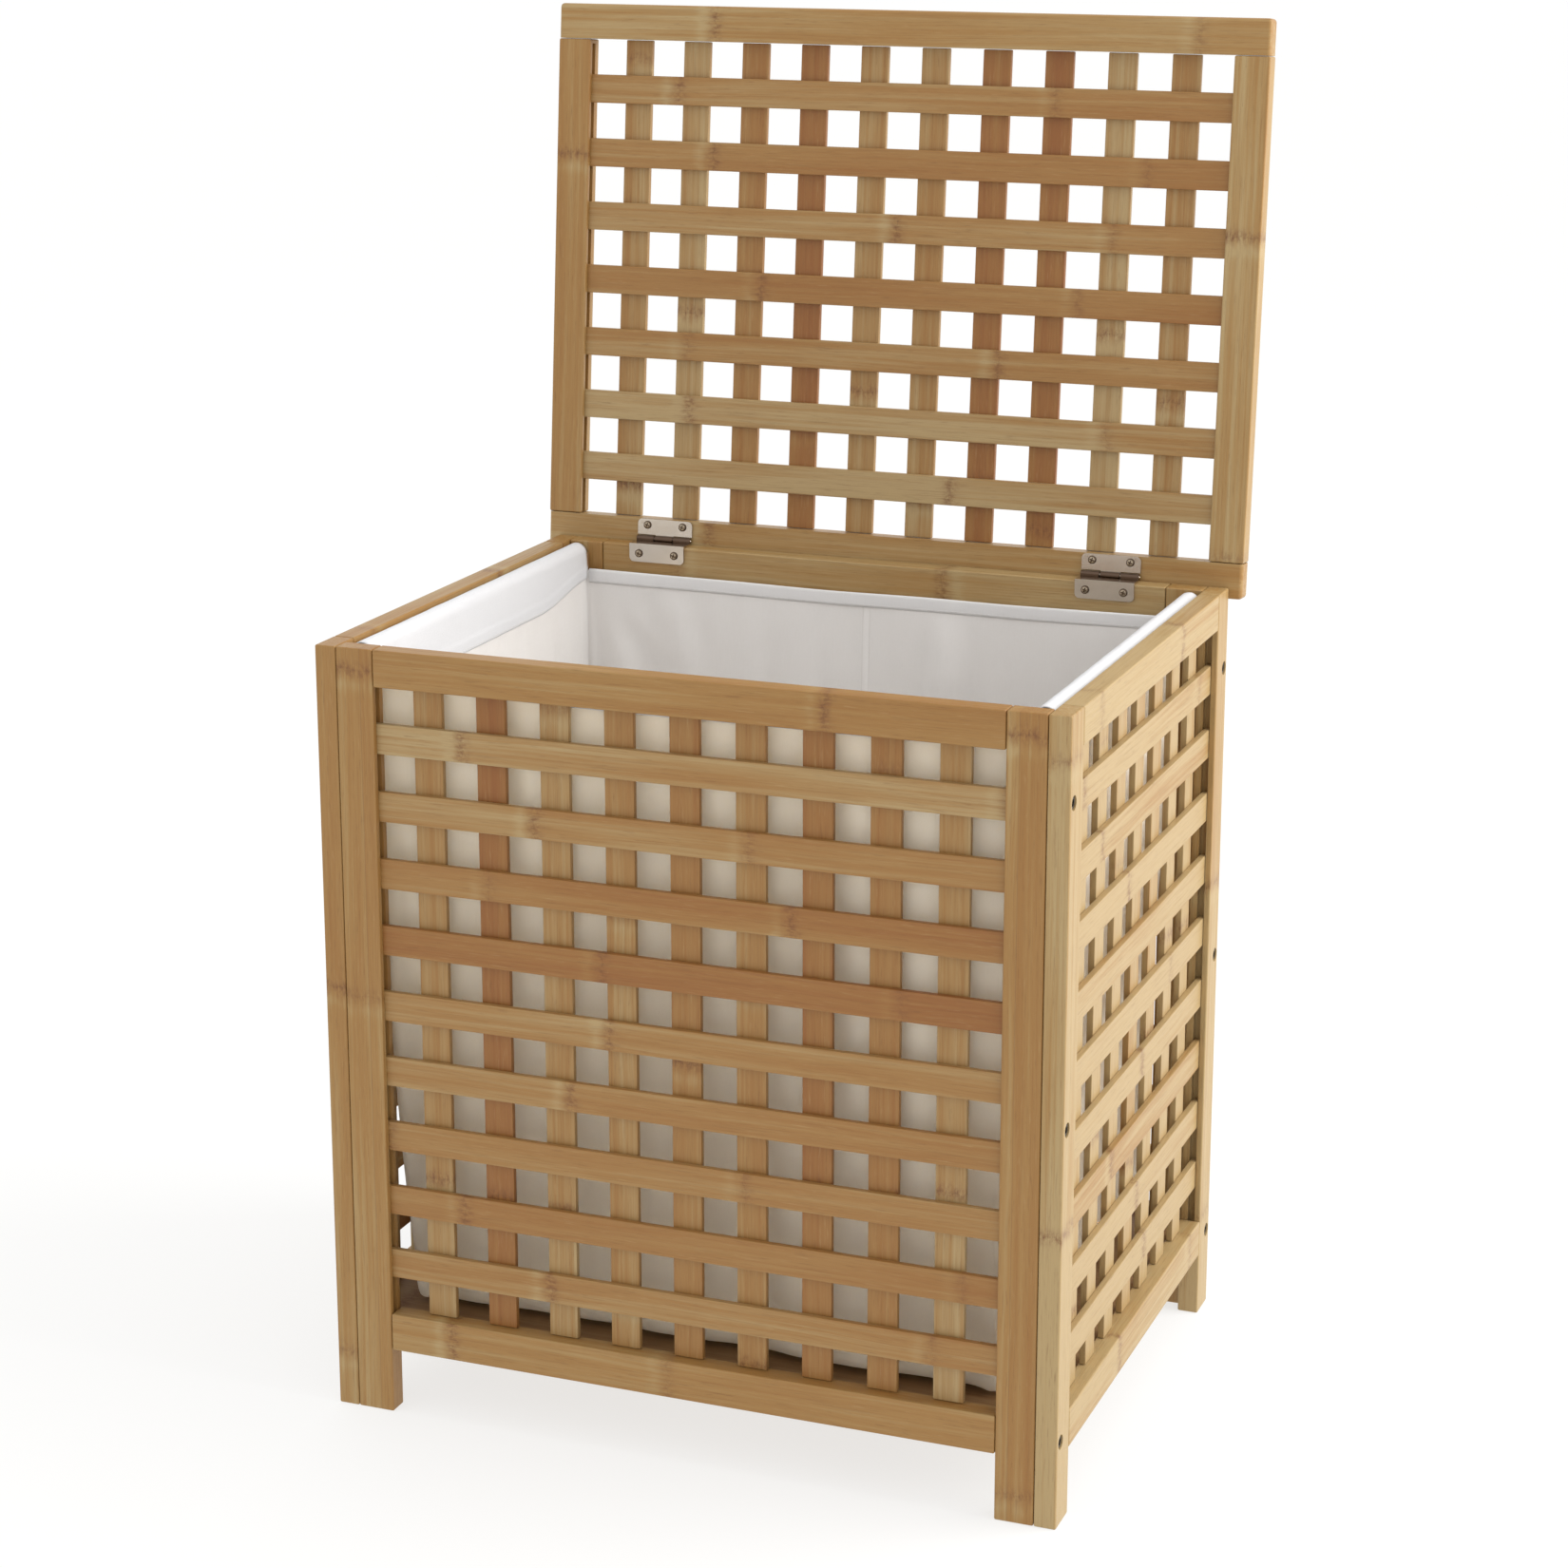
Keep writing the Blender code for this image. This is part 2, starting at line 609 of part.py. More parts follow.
def build_base_board(finishes):
    """The board that closes the bottom, with tongues into the four bottom rails."""
    reach_x, reach_y = SIDE_INNER - GAP, BODY_DEPTH / 2 - PANEL_THICK - GAP
    rail_x = SIDE_INNER - STILE_WIDTH - 2 * GAP
    rail_y = BODY_DEPTH / 2 - STILE_WIDTH - 2 * GAP
    corner = [(reach_x + BOARD_TONGUE, rail_y), (reach_x, rail_y), (reach_x, reach_y)]
    corner += [(rail_x, reach_y), (rail_x, reach_y + BOARD_TONGUE)]
    outline = corner + [(-x, y) for x, y in reversed(corner)]
    outline += [(-x, -y) for x, y in corner] + [(x, -y) for x, y in reversed(corner)]
    board = prism(outline, BOARD_TOP - BOARD_THICK, BOARD_TOP)
    place("base_board", to_mesh(board), finishes["board"], None, (0, (FRONT_Y + BACK_Y) / 2, 0))


def build_rods(finishes):
    """Two hollow rods from front to back, each in two notched rests."""
    start, end = FRONT_Y + PANEL_THICK + GAP, BACK_Y - PANEL_THICK - GAP
    bore = prism(circle(ROD_BORE), -CUT_PAST, end - start + CUT_PAST)
    tube = carved(prism(circle(ROD_RADIUS), 0, end - start), bore)
    tube = to_mesh(along_y(tube))
    half = SLEEVE_OUTER
    rest = box((-half, 0, -REST_HEIGHT), (half, REST_THICK, 0))
    notch = prism(circle(ROD_RADIUS + GAP), -CUT_PAST, REST_THICK + CUT_PAST)
    rest = to_mesh(carved(rest, along_y(notch)))
    for side, hand in ((-1, "left"), (1, "right")):
        place(f"{hand}_liner_rod", tube, finishes["rod"], None, (side * ROD_X, start, ROD_Z))
        front, rear = (side * ROD_X, start, ROD_Z), (side * ROD_X, end, ROD_Z)
        place(f"{hand}_front_rod_rest", rest, finishes["rest"], None, front)
        place(f"{hand}_rear_rod_rest", rest, finishes["rest"], None, rear, math.pi)


def build_liner(finishes):
    """The bag: four walls, a bottom and two sleeves that the rods run through."""
    wall_x = SIDE_INNER - LINER_SIDE_INSET
    low_y = FRONT_Y + PANEL_THICK + LINER_WALL_INSET
    high_y = BACK_Y - PANEL_THICK - LINER_WALL_INSET
    rim = BODY_HEIGHT - LINER_DIP
    outer = box((-wall_x, low_y, LINER_BOTTOM), (wall_x, high_y, rim))
    hollow_low = (-wall_x + CLOTH, low_y + CLOTH, LINER_BOTTOM + CLOTH)
    hollow_high = (wall_x - CLOTH, high_y - CLOTH, rim + CUT_PAST)
    bag = carved(outer, box(hollow_low, hollow_high))
    for side in (-1, 1):
        near, far = sorted((side * (wall_x - CLOTH), side * wall_x))
        bag = joined(bag, box((near, low_y, rim - SLEEVE_SEAM), (far, high_y, ROD_Z)))
        sleeve = prism(circle(SLEEVE_OUTER), low_y, high_y)
        sleeve = carved(sleeve, prism(circle(SLEEVE_INNER), low_y - CUT_PAST, high_y + CUT_PAST))
        bag = joined(bag, along_y(sleeve, side * ROD_X, 0, ROD_Z))
    place("liner", to_mesh(bag), finishes["cotton"], None)


# ---------------------------------------------------------------- whole


def clear_scene():
    """Removes what the scene starts with."""
    for item in list(bpy.data.objects):
        bpy.data.objects.remove(item)


def shade_round_parts():
    """Shades every part smooth, with its real edges kept sharp."""
    for item in bpy.data.objects:
        if item.type == "MESH":
            item.data.shade_smooth()
            item.data.set_sharp_from_angle(angle=math.radians(30))


def main():
    clear_scene()
    finishes = make_materials()
    axis = anchor("hinge_axis", (0, AXIS_Y, AXIS_HEIGHT))
    pivot = anchor("lid_pivot", (0, AXIS_Y, AXIS_HEIGHT), (-LID_LEAN, 0, 0))
    sides = build_body(finishes)
    build_bolts(sides, finishes)
    build_lid(pivot, finishes)
    build_hinges(axis, pivot, finishes)
    build_base_board(finishes)
    build_rods(finishes)
    build_liner(finishes)
    shade_round_parts()


main()
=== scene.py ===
"""The looks of a bamboo laundry hamper: slats, frames, hinges, bolts, and a cotton liner on two rods.

Every wooden piece is made standing in its panel's own space: X across the panel, Y in from its outer
face, Z up.
"""

import json
import math
import random

import bmesh
import bpy
from mathutils import Matrix, Vector, noise


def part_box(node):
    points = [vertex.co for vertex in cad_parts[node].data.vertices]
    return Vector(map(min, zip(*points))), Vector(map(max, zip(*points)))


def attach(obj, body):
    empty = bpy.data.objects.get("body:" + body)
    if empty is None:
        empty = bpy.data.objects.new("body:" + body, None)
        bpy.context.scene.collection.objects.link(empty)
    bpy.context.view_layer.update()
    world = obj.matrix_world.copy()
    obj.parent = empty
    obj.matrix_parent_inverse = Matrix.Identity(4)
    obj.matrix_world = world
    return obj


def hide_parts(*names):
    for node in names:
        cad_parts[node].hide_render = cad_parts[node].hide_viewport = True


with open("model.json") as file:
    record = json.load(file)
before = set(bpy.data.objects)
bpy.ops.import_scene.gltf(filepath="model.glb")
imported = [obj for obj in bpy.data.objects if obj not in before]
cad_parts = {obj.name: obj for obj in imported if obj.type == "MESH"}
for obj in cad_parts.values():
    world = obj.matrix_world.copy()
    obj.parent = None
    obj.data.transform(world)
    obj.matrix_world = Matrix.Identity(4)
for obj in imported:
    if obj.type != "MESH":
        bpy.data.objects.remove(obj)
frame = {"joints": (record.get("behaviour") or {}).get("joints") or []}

# Wood sections, as designed
STILE_WIDTH = 0.023
RAIL_WIDTH = 0.022
BOTTOM_RAIL = 0.023
LEG_HEIGHT = 0.040
SLAT_WIDTH = 0.018
SLAT_THICK = 0.004
SLAT_RECESS = 0.004
LID_RECESS = 0.0035
TONGUE = 0.0047
GAP = 0.0003
ARRIS = 0.0010
SLAT_ARRIS = 0.0006
LID_ROUNDING = 0.0025
SLAT_CLEARANCE = 0.00005
GROOVE_DEPTH = TONGUE + GAP
SHOULDER = 0.003
BODY_BARS = 9
FRONT_UPRIGHTS = 9
SIDE_UPRIGHTS = 7
LID_BARS = 7
LID_UPRIGHTS = 10

# Base board
BOARD_THICK = 0.004
BOARD_TOP = 0.059
BOARD_TONGUE = 0.0040

# Hinges and fasteners
HINGE_WIDTH = 0.038
HINGE_OFFSET = 0.150
LEAF_THICK = 0.0009
LEAF_DROP = 0.0108
LEAF_RISE = 0.0125
LEAF_CORNER = 0.003
KNUCKLE_RADIUS = 0.0020
KNUCKLE_CLEARANCE = 0.0004
MIDDLE_KNUCKLE = 0.0130
PIN_RADIUS = 0.0009
SCREW_SPACING = 0.0245
SCREW_DROP = 0.0052
SCREW_RISE = 0.0086
SCREW_HEAD_RADIUS = 0.0026
SCREW_HEAD_HEIGHT = 0.0013
BOLT_HEIGHTS = {"bottom": 0.051, "middle": 0.236, "top": 0.421}
BOLT_HEAD_RADIUS = 0.0040
BOLT_HEAD_HEIGHT = 0.0020
BOLT_SINK = 0.0008
BOLT_REACH = 0.0285

# Rods and liner
ROD_RADIUS = 0.0055
ROD_BORE = 0.0045
CLOTH = 0.0007
THREAD_PITCH = 0.00056
BAG_CORNER = 0.014
BAG_TOP_CORNER = 0.002
BAG_CELL = 0.009
BAG_PULL = {"left": 0.0036, "right": 0.0100}
HEM_WIDTH = 0.0078
HEM_CLOTH = 0.0006
SLEEVE_CLOTH = 0.0006
SLEEVE_BAND = 0.008
SLEEVE_SEAM = 0.437
SLEEVE_SEAM_REAR = 0.446
BACK_SEAM_X = -0.004
SEAM_HALF = 0.0022

# Cutters reach this far past the faces they cut; trimmed faces stand this far off a neighbour's plane
OVERCUT, TRIM = 0.001, 0.0001
HANDS = ((-1, "left"), (1, "right"))

# Places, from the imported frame
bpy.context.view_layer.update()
FRONT_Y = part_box("front_top_rail")[0].y
BACK_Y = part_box("back_top_rail")[1].y
MIDDLE_Y = (FRONT_Y + BACK_Y) / 2
SIDE_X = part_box("right_front_stile")[1].x
TOP_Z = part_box("front_top_rail")[1].z
PANEL_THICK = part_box("front_top_rail")[1].y - FRONT_Y
DEPTH = BACK_Y - FRONT_Y
INNER_X = SIDE_X - PANEL_THICK
LID_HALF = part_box("lid_front_rail")[1].x
AXIS = Vector(frame["joints"][0]["pos_m"])
LID_LEAN = math.radians(5.0)
LID_THICK = 0.0135
LID_STANDOFF = KNUCKLE_RADIUS + GAP
LID_LOW = -0.008 - (BACK_Y - AXIS.y)
LID_HIGH = DEPTH - (BACK_Y - AXIS.y) + 0.008
ROD_LOW, ROD_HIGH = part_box("right_liner_rod")
ROD_X = (ROD_LOW.x + ROD_HIGH.x) / 2
ROD_Z = (ROD_LOW.z + ROD_HIGH.z) / 2
LINER_LOW, LINER_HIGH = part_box("liner")
LINER_WALL = 0.1989
BAG_X = LINER_WALL - CLOTH / 2
RIM_Z = TOP_Z - 0.018

QUARTER = math.pi / 2
PANELS = {
    "front": Matrix.Translation((0, FRONT_Y, 0)),
    "back": Matrix.Translation((0, BACK_Y, 0)) @ Matrix.Rotation(2 * QUARTER, 4, "Z"),
    "right": Matrix.Translation((SIDE_X, MIDDLE_Y, 0)) @ Matrix.Rotation(QUARTER, 4, "Z"),
    "left": Matrix.Translation((-SIDE_X, MIDDLE_Y, 0)) @ Matrix.Rotation(-QUARTER, 4, "Z"),
}
LID_PIVOT = Matrix.Translation(AXIS) @ Matrix.Rotation(-LID_LEAN, 4, "X")
LID_SPACE = LID_PIVOT @ Matrix.Translation((0, LID_STANDOFF, 0))

# How dark a strip of bamboo is, from 0, bleached, to 1, russet
PALE, STRAW, HONEY, AMBER, RUSSET = 0.0, 0.14, 0.36, 0.62, 0.88


# ---------------------------------------------------------------- node graphs


class Graph:
    """A material with one Principled shader, and short calls for the nodes behind it."""

    def __init__(self, name, constants):
        self.material = bpy.data.materials.new(name)
        self.material.use_nodes = True
        self.tree = self.material.node_tree
        self.shader = self.tree.nodes["Principled BSDF"]
        for socket, value in constants.items():
            self.shader.inputs[socket].default_value = value

    def add(self, kind, inputs, **settings):
        made = self.tree.nodes.new(kind)
        for key, value in settings.items():
            setattr(made, key, value)
        for socket, value in inputs.items():
            self.plug(made.inputs[socket], value)
        return made

    def plug(self, socket, value):
        if isinstance(value, bpy.types.NodeSocket):
            self.tree.links.new(value, socket)
        elif socket.type == "RGBA" and len(value) == 3:
            socket.default_value = (*value, 1.0)
        else:
            socket.default_value = value

    def own(self, name):
        """A number that the object itself carries."""
        made = self.add("ShaderNodeAttribute", {}, attribute_name=name, attribute_type="OBJECT")
        return made.outputs["Fac"]

    def laid(self, name):
        """A vector that the mesh carries."""
        made = self.add("ShaderNodeAttribute", {}, attribute_name=name, attribute_type="GEOMETRY")
        return made.outputs["Vector"]

    def math(self, operation, *values, clamp=False):
        made = self.add("ShaderNodeMath", dict(enumerate(values)), operation=operation, use_clamp=clamp)
        return made.outputs[0]

    def times(self, first, second, clamp=False):
        return self.math("MULTIPLY", first, second, clamp=clamp)

    def minus(self, first, second):
        return self.math("SUBTRACT", first, second)

    def step(self, value, sharpness):
        """-1 below 0 and 1 above it, with a soft change between."""
        return self.math("TANH", self.times(value, sharpness))

    def vector(self, operation, first, second):
        return self.add("ShaderNodeVectorMath", {0: first, 1: second}, operation=operation).outputs[0]

    def vector_of(self, x, y, z):
        return self.add("ShaderNodeCombineXYZ", {0: x, 1: y, 2: z}).outputs[0]

    def own_place(self):
        return self.add("ShaderNodeTexCoord", {}).outputs["Object"]

    def split(self, vector):
        made = self.add("ShaderNodeSeparateXYZ", {0: vector})
        return made.outputs[0], made.outputs[1], made.outputs[2]

    def noise(self, vector, scales, detail=2.0, roughness=0.55):
        """Noise stretched by three scales, in cycles per metre, centred on 0."""
        scaled = self.vector("MULTIPLY", vector, scales)
        inputs = {"Vector": scaled, "Scale": 1.0, "Detail": detail, "Roughness": roughness}
        made = self.add("ShaderNodeTexNoise", inputs, noise_dimensions="3D")
        return self.minus(made.outputs[0], 0.5)

    def bump_at(self, distance, width):
        """1 at distance 0, falling to 0 past a width."""
        scaled = self.math("DIVIDE", distance, width)
        return self.math("EXPONENT", self.times(self.times(scaled, scaled), -1.0))

    def ramp(self, value, stops):
        made = self.add("ShaderNodeValToRGB", {0: value})
        elements = made.color_ramp.elements
        while len(elements) < len(stops):
            elements.new(0.5)
        for element, (place, colour) in zip(elements, stops):
            element.position = place
            element.color = (*colour, 1.0)
        return made.outputs[0]

    def mix(self, factor, first, second):
        return self.add("ShaderNodeMix", {0: factor, 6: first, 7: second}, data_type="RGBA").outputs[2]

    def weighted(self, base, *terms):
        """base plus each value times its weight."""
        total = base
        for value, weight in terms:
            total = self.math("ADD", total, self.times(value, weight))
        return total

    def relief(self, height, strength, distance):
        made = self.add("ShaderNodeBump", {"Height": height, "Strength": strength, "Distance": distance})
        self.tree.links.new(made.outputs[0], self.shader.inputs["Normal"])

    def surface(self, socket, value):
        self.plug(self.shader.inputs[socket], value)


# ---------------------------------------------------------------- materials


def bamboo(name, stops, roughness):
    """Laminated bamboo: streaks and dashes along the grain, smudged nodes, and a tone for each strip."""
    constants = {"Coat Weight": 0.08, "Coat Roughness": 0.30, "Specular IOR Level": 0.36}
    g = Graph(name, constants)
    grain = g.laid("grain")
    seed, tone = g.own("seed"), g.own("tone")
    along, across, _ = g.split(grain)
    place = g.vector("ADD", grain, g.vector_of(seed, g.times(seed, 0.37), seed))
    wander = g.noise(place, (7.0, 40.0, 40.0), 1.0)
    bent = g.vector("ADD", place, g.vector_of(0.0, g.times(wander, 0.004), 0.0))
    cloud = g.noise(bent, (5.0, 45.0, 45.0), 2.0)
    strip = g.noise(bent, (3.0, 210.0, 210.0), 1.0)
    streak = g.noise(bent, (9.0, 520.0, 520.0), 2.0, 0.6)
    dash = g.noise(bent, (75.0, 1000.0, 1000.0), 2.0, 0.6)
    fibre = g.noise(bent, (30.0, 1500.0, 1500.0), 3.0, 0.65)

    wiggle = g.noise(place, (60.0, 170.0, 170.0), 2.0)
    smudge = g.noise(place, (190.0, 420.0, 420.0), 3.0, 0.7)
    marks, lines, halo, bow = 0.0, 0.0, 0.0, 0.0
    for which, strength in (("node_a", 1.0), ("node_b", 0.6)):
        apart = g.weighted(g.minus(along, g.own(which)), (wiggle, 0.007))
        marks = g.weighted(marks, (g.bump_at(apart, 0.0045), strength))
        halo = g.weighted(halo, (g.bump_at(g.math("ADD", apart, 0.009), 0.0040), strength))
        lines = g.weighted(lines, (g.bump_at(g.weighted(apart, (smudge, 0.003)), 0.00045), strength))
        bow = g.math("ADD", bow, g.step(apart, 260.0))
    blotch = g.times(marks, g.weighted(0.44, (smudge, 3.4)), clamp=True)

    to_seam = g.minus(across, g.own("seam"))
    seam_line = g.bump_at(to_seam, 0.00022)

    patches = ((cloud, 0.60), (strip, 0.55), (streak, 0.50))
    value = g.weighted(tone, *patches, (bow, 0.04), (g.step(to_seam, 6000.0), 0.06), (halo, -0.16))
    colour = g.ramp(value, stops)
    dark = g.times(g.minus(dash, 0.09), 4.5, clamp=True)
    colour = g.mix(g.times(dark, 0.42), colour, (0.15, 0.065, 0.020))
    light = g.times(g.minus(g.times(dash, -1.0), 0.10), 4.5, clamp=True)
    colour = g.mix(g.times(light, 0.30), colour, (0.50, 0.345, 0.165))
    hairs = g.times(g.minus(fibre, 0.02), 1.4, clamp=True)
    colour = g.mix(hairs, colour, (0.17, 0.075, 0.022))
    colour = g.mix(g.times(blotch, 0.78), colour, (0.165, 0.060, 0.020))
    scratch = g.times(lines, g.weighted(0.16, (fibre, 1.6)), clamp=True)
    colour = g.mix(scratch, colour, (0.11, 0.042, 0.015))
    colour = g.mix(g.times(seam_line, 0.30), colour, (0.13, 0.065, 0.03))
    g.surface("Base Color", colour)
    g.surface("Roughness", g.weighted(roughness, (streak, 0.16), (fibre, 0.22)))
    height = g.weighted(0.0, (fibre, 1.0), (streak, 0.8), (lines, 0.2), (seam_line, -0.4))
    g.relief(height, 0.35, 0.00022)
    return g.material


def metal(name, colour, tarnish, roughness, scratch_scale, mottle=0.6):
    """Plated or blackened steel with fine scratches and a little tarnish."""
    g = Graph(name, {"Metallic": 1.0})
    place = g.own_place()
    cloud = g.noise(place, (140.0, 140.0, 140.0), 3.0)
    hair = g.noise(place, (scratch_scale, 3600.0, 3600.0), 2.0)
    g.surface("Base Color", g.mix(g.weighted(0.28, (cloud, mottle)), colour, tarnish))
    g.surface("Roughness", g.weighted(roughness, (cloud, 0.08), (hair, 0.10)))
    g.relief(hair, 0.14, 0.00004)
    return g.material


def cotton(name, colour, shade, glow=0.0):
    """Plain-woven cotton canvas with fine slubs and one felled seam, from cloth coordinates in metres. The
    seam carries a painted highlight along its band and a painted shadow at its folded edge.
    """
    constants = {"Sheen Weight": 0.10, "Sheen Roughness": 0.5, "Specular IOR Level": 0.15}
    g = Graph(name, constants | {"Subsurface Weight": glow} | LIGHT_THROUGH_CLOTH)
    cloth = g.laid("cloth")
    along, across, place_x = g.split(cloth)
    # The seam: a painted highlight over its raised band and a painted shadow line at its folded edge
    fold_edge = g.minus(g.math("ABSOLUTE", g.minus(place_x, BACK_SEAM_X)), SEAM_HALF)
    seam_painted_highlight = g.weighted(0.5, (g.step(fold_edge, -5000.0), 0.5))
    seam_edge_painted_shadow = g.bump_at(fold_edge, 0.0004)
    phases = [g.times(run, math.pi / THREAD_PITCH) for run in (along, across)]
    warp, weft = [g.math("ABSOLUTE", g.math("SINE", phase)) for phase in phases]
    over = g.math("GREATER_THAN", g.times(*[g.math("COSINE", phase) for phase in phases]), 0.0)
    weave = g.math("ADD", g.times(warp, over), g.times(weft, g.minus(1.0, over)))
    slub_warp = g.noise(cloth, (900.0, 110.0, 900.0), 2.0)
    slub_weft = g.noise(cloth, (110.0, 900.0, 900.0), 2.0)
    cloud = g.noise(cloth, (14.0, 14.0, 14.0), 3.0)
    slubs = g.times(g.math("ADD", slub_warp, slub_weft), 0.5)
    seam = ((seam_painted_highlight, -0.20), (seam_edge_painted_shadow, 0.55))
    value = g.weighted(0.30, (slubs, 0.55), (cloud, 0.45), (weave, -0.10), *seam)
    g.surface("Base Color", g.mix(g.times(value, 1.0, clamp=True), colour, shade))
    g.surface("Roughness", g.weighted(0.86, (slubs, 0.1)))
    g.relief(g.weighted(weave, (slubs, 1.6), (seam_painted_highlight, 2.2), (seam_edge_painted_shadow, -1.2)), 0.45, 0.00014)
    return g.material


def thread_material(name, colour):
    """Twisted sewing thread."""
    g = Graph(name, {"Sheen Weight": 0.2, "Specular IOR Level": 0.3})
    twist = g.noise(g.own_place(), (2600.0, 2600.0, 2600.0), 2.0)
    shaded = tuple(0.72 * c for c in colour)
    g.surface("Base Color", g.mix(g.weighted(0.4, (twist, 1.5)), colour, shaded))
    g.surface("Roughness", g.weighted(0.7, (twist, 0.3)))
    g.relief(twist, 0.4, 0.00008)
    return g.material


def floor_material():
    """White backlit paper, so that only a faint shadow shows on it."""
    g = Graph("pale_floor", {"Roughness": 0.9, "Specular IOR Level": 0.1, "Emission Strength": 0.72})
    cloud = g.noise(g.own_place(), (2.0, 2.0, 2.0), 2.0)
    g.surface("Base Color", g.mix(g.weighted(0.5, (cloud, 0.4)), (0.27,) * 3, (0.25,) * 3))
    g.surface("Emission Color", (1.0, 1.0, 0.99))
    return g.material


LIGHT_THROUGH_CLOTH = {"Subsurface Radius": (0.0040, 0.0034, 0.0027), "Subsurface Scale": 1.0}

BAMBOO_STOPS = (
    (0.0, (0.425, 0.300, 0.138)),
    (0.20, (0.375, 0.232, 0.087)),
    (0.36, (0.345, 0.188, 0.057)),
    (0.65, (0.312, 0.152, 0.040)),
    (1.0, (0.268, 0.108, 0.026)),
)
SLAT_STOPS = (
    (0.0, (0.420, 0.295, 0.138)),
    (0.20, (0.370, 0.226, 0.087)),
    (0.36, (0.338, 0.180, 0.056)),
    (0.65, (0.305, 0.140, 0.037)),
    (1.0, (0.262, 0.098, 0.024)),
)
BOARD_STOPS = (
    (0.0, (0.36, 0.23, 0.11)),
    (0.5, (0.28, 0.155, 0.065)),
    (1.0, (0.21, 0.10, 0.04)),
)

HINGE_SLOT, LINER_SLOT = "hinge_metal", "cotton_liner"

# Each finish: its material, and the record's slot that it belongs to
FINISHES = {
    "frame": (bamboo("bamboo_frame_grain", BAMBOO_STOPS, 0.44), "bamboo_frame"),
    "slat": (bamboo("bamboo_slat_grain", SLAT_STOPS, 0.47), "bamboo_slats"),
    "board": (bamboo("bamboo_board_grain", BOARD_STOPS, 0.6), "base_board"),
    "rest": (bamboo("bamboo_rest_grain", BOARD_STOPS, 0.6), "rod_rest"),
    "hinge": (metal("satin_nickel", (0.64, 0.58, 0.50), (0.44, 0.37, 0.30), 0.17, 60.0, 0.4), HINGE_SLOT),
    "screw": (metal("screw_nickel", (0.47, 0.39, 0.29), (0.26, 0.19, 0.12), 0.24, 300.0), "screw_metal"),
    # Painted reflection: a dark brown finish on the hinges' knuckles and flat strips, as if they mirrored the
    # wood
    "painted_reflection": (metal("hinge_painted_wood_reflection", (0.15, 0.10, 0.07), (0.06, 0.04, 0.03), 0.22, 60.0, 0.4), HINGE_SLOT),
    # Painted shade: a dark finish round the screw heads' rims and inside their cross recesses
    "recess": (metal("screw_painted_shade", (0.13, 0.09, 0.06), (0.06, 0.04, 0.03), 0.30, 300.0), "screw_metal"),
    "bolt": (metal("blackened_steel", (0.12, 0.105, 0.09), (0.05, 0.045, 0.04), 0.40, 300.0), "bolt_metal"),
    "rod": (metal("rod_steel_drawn", (0.70, 0.70, 0.69), (0.5, 0.5, 0.5), 0.30, 3600.0), "rod_metal"),
    # The outer face is a warmer, darker copy of the same cloth: painted shade and warm bounce light from the
    # bamboo
    "cotton": (cotton("cotton_outside_painted_bounce", (0.90, 0.785, 0.635), (0.80, 0.685, 0.535), 0.45), LINER_SLOT),
    "inside": (cotton("cotton_inside", (0.84, 0.815, 0.79), (0.73, 0.70, 0.67)), LINER_SLOT),
    # The sleeves are a darker copy of the same cloth: painted shade that holds back the lamp's light on them
    "sleeve": (cotton("cotton_sleeve_painted_shade", (0.745, 0.75, 0.765), (0.67, 0.675, 0.695)), LINER_SLOT),
    "hem": (cotton("cotton_hem", (0.79, 0.78, 0.775), (0.71, 0.695, 0.685)), LINER_SLOT),
    "thread": (thread_material("sewing_thread", (0.80, 0.79, 0.78)), LINER_SLOT),
}


# ---------------------------------------------------------------- shapes


def box_shape(low, high):
    shape = bmesh.new()
    size = [b - a for a, b in zip(low, high)]
    middle = [(a + b) / 2 for a, b in zip(low, high)]
    bmesh.ops.create_cube(shape, size=1.0, matrix=Matrix.Translation(middle) @ Matrix.Diagonal((*size, 1.0)))
    return shape


def prism(outline, start, end):
    """An outline in X and Y, extruded along Z."""
    shape = bmesh.new()
    face = shape.faces.new([shape.verts.new((x, y, start)) for x, y in outline])
    grown = bmesh.ops.extrude_face_region(shape, geom=[face])
    lifted = [v for v in grown["geom"] if isinstance(v, bmesh.types.BMVert)]
    bmesh.ops.translate(shape, vec=(0, 0, end - start), verts=lifted)
    bmesh.ops.recalc_face_normals(shape, faces=shape.faces)
    return shape


def circle(radius, sides):
    steps = [2 * math.pi * k / sides for k in range(sides)]
    return [(radius * math.cos(a), radius * math.sin(a)) for a in steps]


def turned(profile, sides=32):
    """A profile of (radius, height) points, from the axis to the axis, turned round Z."""
    shape = bmesh.new()
    rings = []
    for radius, height in profile:
        points = [(0, 0)] if radius == 0.0 else circle(radius, sides)
        rings.append([shape.verts.new((x, y, height)) for x, y in points])
    for lower, upper in zip(rings, rings[1:]):
        for k in range(sides):
            corners = [lower[k % len(lower)], lower[(k + 1) % len(lower)]]
            corners += [upper[(k + 1) % len(upper)], upper[k % len(upper)]]
            shape.faces.new(list(dict.fromkeys(corners)))
    bmesh.ops.recalc_face_normals(shape, faces=shape.faces)
    return shape


def rounded(shape, width, segments=3, chosen=None):
    """Rounds the outward edges, or those that a test chooses."""
    edges = [e for e in shape.edges if e.is_manifold and e.calc_face_angle_signed() > 0.3]
    if chosen:
        edges = [e for e in edges if chosen(e)]
    bmesh.ops.bevel(
        shape, geom=edges, offset=width, segments=segments, profile=0.5, affect="EDGES", clamp_overlap=True
    )
    return shape


def moved(shape, matrix):
    bmesh.ops.transform(shape, matrix=matrix, verts=shape.verts)
    return shape


def mirrored(shape):
    moved(shape, Matrix.Scale(-1, 4, (1, 0, 0)))
    bmesh.ops.reverse_faces(shape, faces=shape.faces)
    return shape


